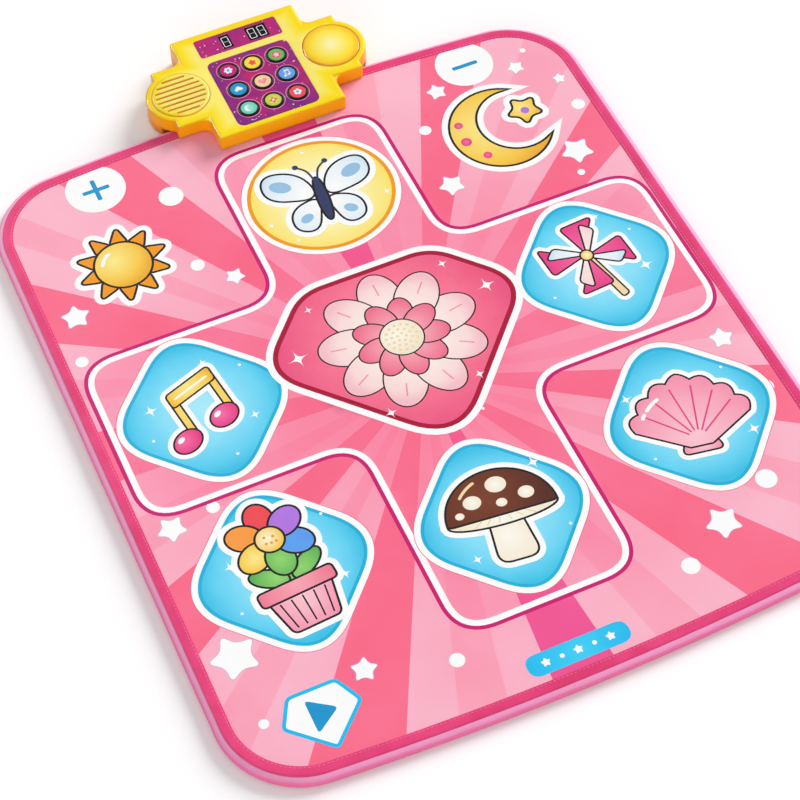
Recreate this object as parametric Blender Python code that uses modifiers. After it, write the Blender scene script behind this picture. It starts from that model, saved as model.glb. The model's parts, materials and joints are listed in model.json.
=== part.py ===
"""Electronic dance mat: a flat padded mat with sewn edges and touch films inside, and a moulded
control console clamped over its far edge. Metres, +Z up. The floor is z = 0, +Y runs from the
player's edge to the console, and the origin is the middle of the floor area that it covers.
The mat's pieces are placed from the middle of its near edge, and the console's pieces from
the console's centre, which follows the mat's length."""

import math

import bmesh
import bpy

# Mat outline, at the seam between the top cover and the side wall
MAT_WIDTH = 0.800
MAT_LENGTH = 0.910  # along the sides' straight part, corner to corner
MAT_BOW = 0.0204  # how far the near and far edges curve out at the middle
MAT_CORNER_RADIUS = 0.088
CORNER_STEPS = 8
BOWED_EDGE_STEPS = 10

# Mat layers, from the floor up
LAYER_GAP = 0.0003  # air left between neighbouring solids
BOTTOM_COVER_THICKNESS = 0.0008
CUSHION_THICKNESS = 0.0092
FILM_THICKNESS = 0.0003
SPACER_THICKNESS = 0.0016
TOP_COVER_THICKNESS = 0.0009
TAPE_THICKNESS = 0.0006
TAPE_WIDTH = 0.0125
ROLL_BULGE = 0.0056  # the padded side wall stands out past the seam
ROLL_INSET = 0.008  # and reaches this far in under the cover
ROLL_STEPS = 5

# Touch fields of the films, as shares of the mat's half width and of its length. The spacer
# foam is pierced under each one.
FIELD_SHARES = (
    (0.000, 0.819),
    (-0.655, 0.545),
    (0.000, 0.527),
    (0.655, 0.545),
    (-0.650, 0.274),
    (0.000, 0.233),
    (0.650, 0.274),
)
SPACER_HOLE_RADIUS = 0.008
SPACER_HOLE_PITCH = 0.056
SPACER_HOLE_SIDES = 8

# Console outline, seen from above, about its own centre
CONSOLE_PAST_MAT = 0.054  # its centre, past the line through the mat's far corners
CONSOLE_CENTRE_Y = MAT_LENGTH + CONSOLE_PAST_MAT
BLOCK_HALF_WIDTH = 0.0885
BLOCK_HALF_DEPTH = 0.0943
WING_HALF_WIDTH = 0.1305
WING_HALF_DEPTH = 0.053
END_CENTRE_X = 0.107
END_RADIUS = 0.0465
FILLET_RADIUS = 0.012
BLOCK_CORNER_RADIUS = 0.003
WING_CORNER_RADIUS = 0.0018
CONSOLE_HEIGHT = 0.036
WALL = 0.0022
TOP_WALL = 0.0020
FLOOR_WALL = 0.0024
FOOT_HEIGHT = 0.0019
TOP_EDGE_ROUND = 0.0016
BASE_EDGE_ROUND = 0.0012
SEAT_GAP = 0.0003
TONGUE_THICKNESS = 0.0020  # base plate where the console lies on the mat
MAT_EDGE_CLEARANCE = 0.0012

# Cutters
FAR = 0.2  # clear of the whole console
CUT_START = -0.01  # under the floor
OVERLAP = 0.001  # how far a cutter or a joined piece runs past the face it starts from

# Labels let into the top
LABEL_THICKNESS = 0.0004
LABEL_RECESS = 0.0008
LABEL_CLEARANCE = 0.0004
DISPLAY_LABEL_SIZE = (0.117, 0.034)
DISPLAY_LABEL_Y = 0.0665
DISPLAY_LABEL_CORNER = 0.004
KEYPAD_LABEL_SIZE = (0.115, 0.123)
KEYPAD_LABEL_Y = -0.0235
KEYPAD_LABEL_CORNER = 0.010

# Windows over the digit modules, placed as shares of the display label's width
LEVEL_WINDOW_SHARE = -0.147
LEVEL_WINDOW_WIDTH = 0.0148
SCORE_WINDOW_SHARE = 0.233
SCORE_WINDOW_WIDTH = 0.0294
WINDOW_DEPTH = 0.0262
WINDOW_CLEARANCE = 0.0004
DIGIT_STEP = 0.0012  # the module's face lies this far below the label

# Mode buttons, three by three
BUTTON_PITCH_X = 0.0344
BUTTON_PITCH_Y = 0.0369
BUTTON_GRID_STEP_Y = 0.0012  # the middle row lies this far behind the label's middle
BUTTON_RADIUS = 0.0139
BUTTON_CLEARANCE = 0.0005
BUTTON_PROUD = 0.0012
BUTTON_FLANGE = 0.0014
BUTTON_FLANGE_THICKNESS = 0.0010
BUTTON_STEM_RADIUS = 0.0045
BUTTON_FACE_RADIUS = 0.0100
BUTTON_FACE_STEP = 0.0004
BUTTON_TRAVEL = 0.0010
BUTTON_STEPS = 18

# Circuit board and keypad
BOARD_HALF_WIDTH = 0.056
BOARD_HALF_DEPTH = 0.086
BOARD_UNDERSIDE_Z = 0.0236
BOARD_THICKNESS = 0.0016
BOARD_POST_RADIUS = 0.003
BOARD_POST_INSET = 0.005
KEYPAD_THICKNESS = 0.0010
KEYPAD_MARGIN = 0.016
KEYPAD_CORNER = 0.004
DOME_SQUASHED_HEIGHT = 0.0012
DOME_HEIGHT = BUTTON_TRAVEL + DOME_SQUASHED_HEIGHT
DOME_RADIUS = 0.0055
DOME_TOP_SHARE = 0.7
DOME_STEPS = 12
BOARD_CORNER = 0.002

# Speaker and its grille on the left end
GRILLE_DISC_RADIUS = 0.0385
GRILLE_DISC_RISE = 0.0012
SLOT_COUNT = 8
SLOT_PITCH = 0.0084
SLOT_WIDTH = 0.0026
SLOT_CIRCLE_RADIUS = 0.0335
GRILLE_DISC_STEPS = 40
SPEAKER_RADIUS = 0.0342
SPEAKER_RIM_THICKNESS = 0.0015
SPEAKER_RIM_WIDTH = 0.0036
SPEAKER_PAN_THICKNESS = 0.0010
SPEAKER_DEPTH = 0.0125
MAGNET_RADIUS = 0.0150
MAGNET_THICKNESS = 0.0060
MAGNET_LIP = 0.0006
CONE_CLEARANCE = 0.0012
CONE_THICKNESS = 0.0006
CONE_NECK_STEP = 0.0020  # the neck is this much wider than the coil's hole
CONE_NECK_HEIGHT = 0.0040
DUST_CAP_RISE = 0.0015
CLAMP_THICKNESS = 0.0016
CLAMP_LAP = 0.0030
COIL_RADIUS = 0.0060
RIB_THICKNESS = 0.0013
SPEAKER_STEPS = 24

# Round button on the right end
ROUND_BUTTON_RADIUS = 0.0380
ROUND_BUTTON_CLEARANCE = 0.0006
ROUND_BUTTON_PROUD = 0.0012
ROUND_BUTTON_CROWN = 0.0016
ROUND_BUTTON_WALL = 0.0018
ROUND_BUTTON_FLANGE = 0.0020
ROUND_BUTTON_TRAVEL = 0.0025
STEM_RADIUS = 0.0050
STEM_CLEARANCE = 0.0004
STEM_REACH = 0.0060  # length of stem inside the pedestal at rest
PEDESTAL_RADIUS = 0.0100
PEDESTAL_HEIGHT = 0.0200
PEDESTAL_STEPS = 24
ROUND_BUTTON_STEPS = 32
ROUND_HOLE_STEPS = 48
CROWN_STEPS = 4
BORE_FLOOR = 0.0010
SWITCH_RADIUS = 0.0035
ROUND_SWITCH_STEPS = 16
SPRING_RADIUS = 0.0090
SPRING_WIRE = 0.0005
SPRING_TURNS = 5

# Batteries and their compartment
CELL_RADIUS = 0.0071
CELL_LENGTH = 0.0492
CELL_NUB_RADIUS = 0.0027
CELL_NUB_LENGTH = 0.0013
CELL_PITCH = 0.0150
CELL_COUNT = 3
CELL_STEPS = 20
BATTERY_NEAR_Y = 0.0080
BATTERY_SIDE_CLEARANCE = 0.0008
CONTACT_SPRING_LENGTH = 0.0060
CONTACT_THICKNESS = 0.0004
CONTACT_SPRING_RADIUS = 0.0032
CONTACT_FLARE = 1.4  # the coil's wide end, as a share of its narrow end
CONTACT_PLATE_SHARE = (0.7, 0.6)  # half width and half height, as shares of the cell's radius
CONTACT_WIRE = 0.0004
CONTACT_TURNS = 3
COIL_STEPS = 9
BAY_WALL = 0.0016
DOOR_THICKNESS = 0.0018
DOOR_CLEARANCE = 0.0004
DOOR_TAB_WIDTH = 0.008
DOOR_TAB_REACH = 0.0022
DOOR_TAB_THICKNESS = 0.0009
DOOR_TAB_DROP = 0.0001  # the tabs' tops lie this far below the plate's
DOOR_TAB_HEADROOM = 0.0050
DOOR_LAP = 0.0012  # the door's plate reaches this far under the bay's walls
DOOR_EAR_LENGTH = 0.0080
DOOR_EAR_HALF_WIDTH = 0.0060
DOOR_SCREW_BITE = 0.0040
DOOR_SCREW_CLEARANCE = 0.0005
DOOR_PAD_HEIGHT = 0.0060
DOOR_PAD_ROOF = 0.0010

# Screws and their bosses
SCREW_RADIUS = 0.0015
SCREW_HEAD_RADIUS = 0.0029
SCREW_HEAD_THICKNESS = 0.0014
SCREW_CLEARANCE = 0.0003
SCREW_BITE = 0.0090  # length of thread in the shell's boss
BOSS_RADIUS = 0.0042
REAR_SCREW_X = 0.0790
REAR_SCREW_Y = 0.0850
END_SCREW_X = 0.1225
END_SCREW_Y = 0.0450
CLAMP_SCREW_X = 0.0700
CLAMP_SCREW_Y = -0.0800
RETAINER_THICKNESS = 0.0025
RETAINER_HALF_WIDTH = 0.080
RETAINER_HALF_DEPTH = 0.008
RETAINER_RECESS = 0.0004
RETAINER_CORNER = 0.003
POCKET_CLEARANCE = 0.0005

# Feet
FOOT_RADIUS = 0.0065
REAR_FOOT_X = 0.0600
REAR_FOOT_Y = 0.0840
END_FOOT_X = 0.1200
END_FOOT_Y = 0.0200
FOOT_STEPS = 16

# Power switch in the back wall
SWITCH_X = 0.0450
SWITCH_Z = 0.0270
SWITCH_BODY_SIZE = (0.0130, 0.0055, 0.0062)
SWITCH_TRAVEL = 0.0040
SLIDER_SIZE = (0.0040, 0.0035, 0.0036)
SLIDER_CORNER = 0.0006
SLIDER_CLEARANCE = 0.0004

# Tail that leads the films' tracks up to the board
TAIL_WIDTH = 0.030
TAIL_THICKNESS = 0.0003
TAIL_Y = -0.0745
TAIL_SLOT_CLEARANCE = 0.0012
CONNECTOR_SIZE = (0.034, 0.006, 0.0030)

WELD = 0.000001  # points closer than this are one
SCREW_STEPS = 12
SLOT_END_SHARE = 0.95  # a slot's corner radius, as a share of its half width

# Mouldings with several walls in one plane, which the exact solver leaves open along those walls
WALLS_IN_LINE = ("console_base", "console_shell", "battery_door")

# Heights that follow from the layers
CUSHION_Z = BOTTOM_COVER_THICKNESS + LAYER_GAP
LOWER_FILM_Z = CUSHION_Z + CUSHION_THICKNESS + LAYER_GAP
SPACER_Z = LOWER_FILM_Z + FILM_THICKNESS + LAYER_GAP
UPPER_FILM_Z = SPACER_Z + SPACER_THICKNESS + LAYER_GAP
TOP_COVER_Z = UPPER_FILM_Z + FILM_THICKNESS + LAYER_GAP
TAPE_Z = TOP_COVER_Z + TOP_COVER_THICKNESS + LAYER_GAP
TONGUE_Z = TAPE_Z + TAPE_THICKNESS + LAYER_GAP
PARTING_Z = TONGUE_Z + TONGUE_THICKNESS
SHELL_Z = PARTING_Z + SEAT_GAP
CEILING_Z = CONSOLE_HEIGHT - TOP_WALL
BASE_Z = FOOT_HEIGHT + SEAT_GAP
WELL_Z = BASE_Z + FLOOR_WALL
BOARD_TOP_Z = BOARD_UNDERSIDE_Z + BOARD_THICKNESS

# Places that follow from the outlines
MAT_FAR_Y = MAT_LENGTH + MAT_BOW + ROLL_BULGE
MAT_NEAR_Y = -MAT_BOW - ROLL_BULGE
STEP_Y = MAT_FAR_Y + MAT_EDGE_CLEARANCE - CONSOLE_CENTRE_Y
CONSOLE_BACK_Y = CONSOLE_CENTRE_Y + BLOCK_HALF_DEPTH - WALL + SLIDER_SIZE[1]
ORIGIN_Y = (MAT_NEAR_Y + CONSOLE_BACK_Y) / 2
LAYER_INSET = ROLL_INSET + LAYER_GAP


def clear_scene():
    for obj in list(bpy.data.objects):
        bpy.data.objects.remove(obj)


def collection(name, hidden=False):
    made = bpy.data.collections.new(name)
    bpy.context.scene.collection.children.link(made)
    made.hide_render = hidden
    return made


clear_scene()
PARTS = collection("electronic_dance_mat")
CUTTERS = collection("cutters", hidden=True)


def material(name, colour, roughness=0.5, metallic=0.0):
    made = bpy.data.materials.new(name)
    made.use_nodes = True
    shader = made.node_tree.nodes["Principled BSDF"]
    shader.inputs["Base Color"].default_value = (*colour, 1.0)
    shader.inputs["Roughness"].default_value = roughness
    shader.inputs["Metallic"].default_value = metallic
    made.diffuse_color = (*colour, 1.0)
    return made


PRINT_PINK = material("printed_cover", (0.93, 0.35, 0.47), 0.45)
BORDER_PINK = material("border_tape", (0.80, 0.07, 0.22), 0.5)
WALL_PINK = material("side_fabric", (0.78, 0.19, 0.35), 0.6)
UNDERSIDE_GREY = material("underside_fabric", (0.20, 0.20, 0.22), 0.9)
FOAM_WHITE = material("foam", (0.85, 0.85, 0.83), 0.95)
FILM_CLEAR = material("sensor_film", (0.75, 0.80, 0.78), 0.3)
YELLOW = material("yellow_plastic", (1.0, 0.75, 0.01), 0.35)
AMBER = material("base_plastic", (0.88, 0.31, 0.0), 0.4)
PURPLE = material("label_print", (0.36, 0.03, 0.22), 0.35)
BLACK = material("black_plastic", (0.015, 0.015, 0.017), 0.35)
RUBBER = material("dark_rubber", (0.03, 0.03, 0.03), 0.9)
SILICONE = material("grey_silicone", (0.45, 0.46, 0.48), 0.8)
BOARD_GREEN = material("board_green", (0.02, 0.22, 0.08), 0.5)
STEEL = material("steel", (0.62, 0.62, 0.64), 0.3, 1.0)
CELL_SKIN = material("cell_skin", (0.10, 0.25, 0.55), 0.4)
PAPER = material("speaker_cone", (0.05, 0.05, 0.05), 0.9)


def datum(name, y):
    empty = bpy.data.objects.new(name, None)
    empty.location = (0.0, y, 0.0)
    PARTS.objects.link(empty)
    return empty


MAT = datum("mat_datum", -ORIGIN_Y)
CONSOLE = datum("console_datum", CONSOLE_CENTRE_Y - ORIGIN_Y)


def add_object(name, mesh, parent, paint=None, place=(0.0, 0.0, 0.0)):
    """An object under a datum: a part if it has a material, else a cutter."""
    obj = bpy.data.objects.new(name, mesh)
    obj.location = place
    obj.parent = parent
    if paint is None:
        CUTTERS.objects.link(obj)
        obj.hide_render = True
        obj.display_type = "WIRE"
        return obj
    mesh.materials.append(paint)
    PARTS.objects.link(obj)
    return obj


def smooth(obj, degrees=35):
    obj.data.shade_smooth()
    obj.data.set_sharp_from_angle(angle=math.radians(degrees))
    return obj


def arc(x, y, radius, start, end, steps):
    """Points on an arc, angles in degrees, both ends included."""
    turn = [math.radians(start + (end - start) * i / steps) for i in range(steps + 1)]
    return [(x + radius * math.cos(a), y + radius * math.sin(a)) for a in turn]


def polyline(name, outlines, flat=True):
    curve = bpy.data.curves.new(name, "CURVE")
    curve.dimensions = "2D" if flat else "3D"
    for points in outlines:
        spline = curve.splines.new("POLY")
        spline.points.add(len(points) - 1)
        for target, point in zip(spline.points, points):
            target.co = (point[0], point[1], point[2] if len(point) > 2 else 0.0, 1.0)
        spline.use_cyclic_u = flat
    return curve


def mesh_of_curve(curve):
    """The curve's evaluated shape as a mesh, with its caps joined to its sides."""
    holder = bpy.data.objects.new(curve.name, curve)
    bpy.context.scene.collection.objects.link(holder)
    bpy.context.view_layer.update()
    graph = bpy.context.evaluated_depsgraph_get()
    mesh = bpy.data.meshes.new_from_object(holder.evaluated_get(graph))
    bpy.data.objects.remove(holder)
    shape = bmesh.new()
    shape.from_mesh(mesh)
    bmesh.ops.remove_doubles(shape, verts=shape.verts, dist=WELD)
    bmesh.ops.recalc_face_normals(shape, faces=shape.faces)
    shape.to_mesh(mesh)
    shape.free()
    mesh.name = curve.name
    return mesh


def slab_mesh(name, outlines, z, thickness):
    """A flat outline, with any holes, standing from z to z + thickness."""
    curve = polyline(name, outlines)
    curve.fill_mode = "BOTH"
    curve.extrude = thickness / 2
    mesh = mesh_of_curve(curve)
    for vertex in mesh.vertices:
        vertex.co.z += z + thickness / 2
    return mesh


def slab(name, outlines, z, thickness, parent, paint=None, place=(0.0, 0.0, 0.0)):
    return add_object(name, slab_mesh(name, outlines, z, thickness), parent, paint, place)


def box(name, low, high, parent, paint=None):
    shape = bmesh.new()
    bmesh.ops.create_cube(shape, size=1.0)
    for vertex in shape.verts:
        for i in range(3):
            vertex.co[i] = (low[i] + high[i]) / 2 + vertex.co[i] * (high[i] - low[i])
    mesh = bpy.data.meshes.new(name)
    shape.to_mesh(mesh)
    shape.free()
    return add_object(name, mesh, parent, paint)


def turned(name, profile, parent, paint=None, place=(0.0, 0.0, 0.0), steps=32):
    """A profile of (radius, z) points, top to bottom down its outer side, turned about Z."""
    mesh = bpy.data.meshes.new(name)
    points = [(r, 0.0, z) for r, z in profile]
    closed = profile[0][0] > 0.0 or profile[-1][0] > 0.0
    edges = [(i, i + 1) for i in range(len(points) - 1)]
    if closed:
        edges.append((len(points) - 1, 0))
    mesh.from_pydata(points, edges, [])
    obj = add_object(name, mesh, parent, paint, place)
    screw = obj.modifiers.new("turn", "SCREW")
    screw.steps = steps
    screw.render_steps = steps
    screw.use_merge_vertices = True
    screw.merge_threshold = WELD
    screw.use_smooth_shade = False
    return obj


def rod(name, x, y, low, high, radius, parent, steps=SCREW_STEPS):
    """A plain round cutter or boss."""
    profile = [(0, high), (radius, high), (radius, low), (0, low)]
    return turned(name, profile, parent, None, (x, y, 0), steps)


def joined(name, pieces, parent):
    """Cutters that don't touch one another, as one cutter."""
    shape = bmesh.new()
    bpy.context.view_layer.update()
    graph = bpy.context.evaluated_depsgraph_get()
    for piece in pieces:
        mesh = bpy.data.meshes.new_from_object(piece.evaluated_get(graph))
        mesh.transform(piece.matrix_basis)
        shape.from_mesh(mesh)
        bpy.data.meshes.remove(mesh)
        bpy.data.objects.remove(piece)
    mesh = bpy.data.meshes.new(name)
    shape.to_mesh(mesh)
    shape.free()
    return add_object(name, mesh, parent)


def boolean(obj, operation, *others):
    for other in others:
        step = obj.modifiers.new(operation.lower(), "BOOLEAN")
        step.operation = operation
        step.object = other
        if obj.name in WALLS_IN_LINE:
            step.solver = "MANIFOLD"
    return obj


def rounded_rectangle(x, y, half_width, half_depth, radius, steps=5):
    points = []
    for side_x, side_y, start in ((1, -1, -90), (1, 1, 0), (-1, 1, 90), (-1, -1, 180)):
        corner_x = x + side_x * (half_width - radius)
        corner_y = y + side_y * (half_depth - radius)
        points += arc(corner_x, corner_y, radius, start, start + 90, steps)
    return points


def slot_outline(x, y, half_length, half_width):
    return rounded_rectangle(x, y, half_length, half_width, half_width * SLOT_END_SHARE, 2)


def circle(x, y, radius, steps):
    return arc(x, y, radius, 0, 360 - 360 / steps, steps - 1)


def drawn_in(points, inset):
    """A closed outline, running anticlockwise, moved in by inset along each point's bisector."""
    moved = []
    for i, (x, y) in enumerate(points):
        before, after = points[i - 1], points[(i + 1) % len(points)]
        along = math.atan2(y - before[1], x - before[0])
        turn = math.remainder(math.atan2(after[1] - y, after[0] - x) - along, 2 * math.pi)
        inward = along + turn / 2 + math.pi / 2
        reach = inset / math.cos(turn / 2)
        moved.append((x + reach * math.cos(inward), y + reach * math.sin(inward)))
    return moved


def mat_outline(inset=0.0):
    """The mat's outline, drawn in by inset: round corners, and far and near edges that bow out."""
    half_width = MAT_WIDTH / 2
    half_length = MAT_LENGTH / 2
    points = []
    for side_x, side_y, start in ((1, -1, -90), (1, 1, 0), (-1, 1, 90), (-1, -1, 180)):
        corner_x = side_x * (half_width - MAT_CORNER_RADIUS)
        corner_y = side_y * (half_length - MAT_CORNER_RADIUS)
        points += arc(corner_x, corner_y, MAT_CORNER_RADIUS, start, start + 90, CORNER_STEPS)
        if side_x == side_y:
            for i in range(1, BOWED_EDGE_STEPS):
                points.append((corner_x * (1 - 2 * i / BOWED_EDGE_STEPS), side_y * half_length))
    bowed = []
    for x, y in points:
        bow = MAT_BOW * (1 - (x / half_width) ** 2)
        bowed.append((x, half_length + y + bow * y / half_length))
    return drawn_in(bowed, inset)


def console_outline(inset=0.0):
    """The console from above, drawn in by inset: a block, two wings and two round ends."""
    block_x = BLOCK_HALF_WIDTH - inset
    block_y = BLOCK_HALF_DEPTH - inset
    wing_x = WING_HALF_WIDTH - inset
    wing_y = WING_HALF_DEPTH - inset
    end = END_RADIUS - inset
    fillet = FILLET_RADIUS + inset
    block_corner = max(BLOCK_CORNER_RADIUS - inset, 0.0008)
    wing_corner = max(WING_CORNER_RADIUS - inset, 0.0004)
    shoulder = math.degrees(math.acos((wing_x - END_CENTRE_X) / end))
    quarter = arc(END_CENTRE_X, 0.0, end, 0, shoulder, 8)
    quarter += arc(wing_x - wing_corner, wing_y - wing_corner, wing_corner, 0, 90, 2)
    quarter += arc(block_x + fillet, wing_y + fillet, fillet, 270, 180, 6)
    quarter += arc(block_x - block_corner, block_y - block_corner, block_corner, 0, 90, 3)
    upper = quarter + [(-x, y) for x, y in reversed(quarter)]
    lower = [(x, -y) for x, y in reversed(upper[1:-1])]
    return upper + lower


def rounded_slab(name, edge, low, high, paint):
    """The console's outline from low to high, with both rims rounded off."""
    curve = polyline(name, [console_outline(edge)])
    curve.fill_mode = "BOTH"
    curve.extrude = (high - low) / 2 - edge
    curve.bevel_depth = edge
    curve.bevel_resolution = 1
    mesh = mesh_of_curve(curve)
    for vertex in mesh.vertices:
        vertex.co.z += (low + high) / 2
    return add_object(name, mesh, CONSOLE, paint)


def button_places():
    """The far row first, and each row from left to right."""
    middle_y = KEYPAD_LABEL_Y + BUTTON_GRID_STEP_Y
    return [
        (column * BUTTON_PITCH_X, middle_y + row * BUTTON_PITCH_Y)
        for row in (1, 0, -1)
        for column in (-1, 0, 1)
    ]


def build_mat():
    seam = mat_outline()
    inner = mat_outline(LAYER_INSET)
    clamp_y = CONSOLE_CENTRE_Y + CLAMP_SCREW_Y
    tail_y = CONSOLE_CENTRE_Y + TAIL_Y
    screw_hole = SCREW_RADIUS + SCREW_CLEARANCE
    screw_holes = []
    for side in (-1, 1):
        screw_holes.append(circle(side * CLAMP_SCREW_X, clamp_y, screw_hole, SCREW_STEPS))
    slot_half = TAIL_THICKNESS / 2 + TAIL_SLOT_CLEARANCE
    tail_slot = slot_outline(0, tail_y, TAIL_WIDTH / 2 + TAIL_SLOT_CLEARANCE, slot_half)
    half_x = RETAINER_HALF_WIDTH + POCKET_CLEARANCE
    half_y = RETAINER_HALF_DEPTH + POCKET_CLEARANCE
    pocket = rounded_rectangle(0, clamp_y, half_x, half_y, RETAINER_CORNER, 3)

    slab("bottom_cover", [seam, pocket], 0.0, BOTTOM_COVER_THICKNESS, MAT, UNDERSIDE_GREY)

    layer = [inner] + screw_holes
    cushion = slab("cushion_foam", layer, CUSHION_Z, CUSHION_THICKNESS, MAT, FOAM_WHITE)
    pocket_top = RETAINER_RECESS + RETAINER_THICKNESS + LAYER_GAP
    pocket_cut = slab("plate_pocket", [pocket], CUT_START, pocket_top - CUT_START, MAT)
    boolean(cushion, "DIFFERENCE", pocket_cut)

    slab("lower_sensor_film", layer, LOWER_FILM_Z, FILM_THICKNESS, MAT, FILM_CLEAR)

    holes = []
    for share_x, share_y in FIELD_SHARES:
        for side_x, side_y in ((-1, -1), (1, -1), (1, 1), (-1, 1)):
            x = share_x * MAT_WIDTH / 2 + side_x * SPACER_HOLE_PITCH / 2
            y = share_y * MAT_LENGTH + side_y * SPACER_HOLE_PITCH / 2
            holes.append(circle(x, y, SPACER_HOLE_RADIUS, SPACER_HOLE_SIDES))
    slab("spacer_foam", layer + holes, SPACER_Z, SPACER_THICKNESS, MAT, FOAM_WHITE)

    slab("upper_sensor_film", layer, UPPER_FILM_Z, FILM_THICKNESS, MAT, FILM_CLEAR)
    cover = [seam, tail_slot] + screw_holes
    slab("top_cover", cover, TOP_COVER_Z, TOP_COVER_THICKNESS, MAT, PRINT_PINK)
    slab("border_tape", [seam, mat_outline(TAPE_WIDTH)], TAPE_Z, TAPE_THICKNESS, MAT, BORDER_PINK)

    low = CUSHION_Z
    high = TOP_COVER_Z - LAYER_GAP
    middle = (low + high) / 2
    bulge = []
    for i in range(ROLL_STEPS + 1):
        angle = math.pi * (i / ROLL_STEPS - 0.5)
        bulge.append((ROLL_BULGE * math.cos(angle), middle + (high - low) / 2 * math.sin(angle)))
    profile = bulge + [(-ROLL_INSET, high), (-ROLL_INSET, low)]
    section = bpy.data.objects.new("edge_roll_section", polyline("edge_roll_section", [profile[::-1]]))
    path = polyline("edge_roll", [[(x, y, 0.0) for x, y in seam]], flat=False)
    path.splines[0].use_cyclic_u = True
    path.twist_mode = "Z_UP"
    path.bevel_mode = "OBJECT"
    path.bevel_object = section
    roll = add_object("edge_roll", mesh_of_curve(path), MAT, WALL_PINK)
    bpy.data.objects.remove(section)
    smooth(roll)

    plate = slab(
        "retainer_plate",
        [rounded_rectangle(0, clamp_y, RETAINER_HALF_WIDTH, RETAINER_HALF_DEPTH, RETAINER_CORNER, 3)],
        RETAINER_RECESS,
        RETAINER_THICKNESS,
        MAT,
        BLACK,
    )
    head_top = RETAINER_RECESS + SCREW_HEAD_THICKNESS + 2 * SEAT_GAP
    head_hole = SCREW_HEAD_RADIUS + SCREW_CLEARANCE
    for side in (-1, 1):
        x = side * CLAMP_SCREW_X
        head = rod("clamp_head_cut", x, clamp_y, CUT_START, head_top, head_hole, MAT)
        shank = rod("clamp_shank_cut", x, clamp_y, CUT_START, pocket_top, screw_hole, MAT)
        boolean(plate, "DIFFERENCE", head, shank)


def screw(name, x, y, head_low, tip):
    """A pan-head screw pointing up, its head's face at head_low and its point at tip."""
    head_top = head_low + SCREW_HEAD_THICKNESS
    profile = [
        (0, tip),
        (SCREW_RADIUS * 0.5, tip - SCREW_RADIUS * 0.4),
        (SCREW_RADIUS, tip - SCREW_RADIUS * 1.6),
        (SCREW_RADIUS, head_top),
        (SCREW_HEAD_RADIUS, head_top),
        (SCREW_HEAD_RADIUS, head_low + SCREW_HEAD_THICKNESS * 0.4),
        (SCREW_HEAD_RADIUS * 0.8, head_low),
        (0, head_low),
    ]
    turned(name, profile, CONSOLE, STEEL, (x, y, 0), SCREW_STEPS)


def housing_screw_places():
    return [
        (-REAR_SCREW_X, REAR_SCREW_Y),
        (REAR_SCREW_X, REAR_SCREW_Y),
        (-END_SCREW_X, END_SCREW_Y),
        (END_SCREW_X, END_SCREW_Y),
    ]


def foot_places():
    return [
        (-REAR_FOOT_X, REAR_FOOT_Y),
        (REAR_FOOT_X, REAR_FOOT_Y),
        (-END_FOOT_X, END_FOOT_Y),
        (END_FOOT_X, END_FOOT_Y),
    ]


def battery_bay():
    """Half width, near y and far y of the space that holds the cells."""
    half_width = CELL_COUNT * CELL_PITCH / 2 + BATTERY_SIDE_CLEARANCE
    cell = CELL_LENGTH + CELL_NUB_LENGTH
    length = CONTACT_SPRING_LENGTH + cell + 2 * CONTACT_THICKNESS + 4 * SEAT_GAP
    return half_width, BATTERY_NEAR_Y, BATTERY_NEAR_Y + length


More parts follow.
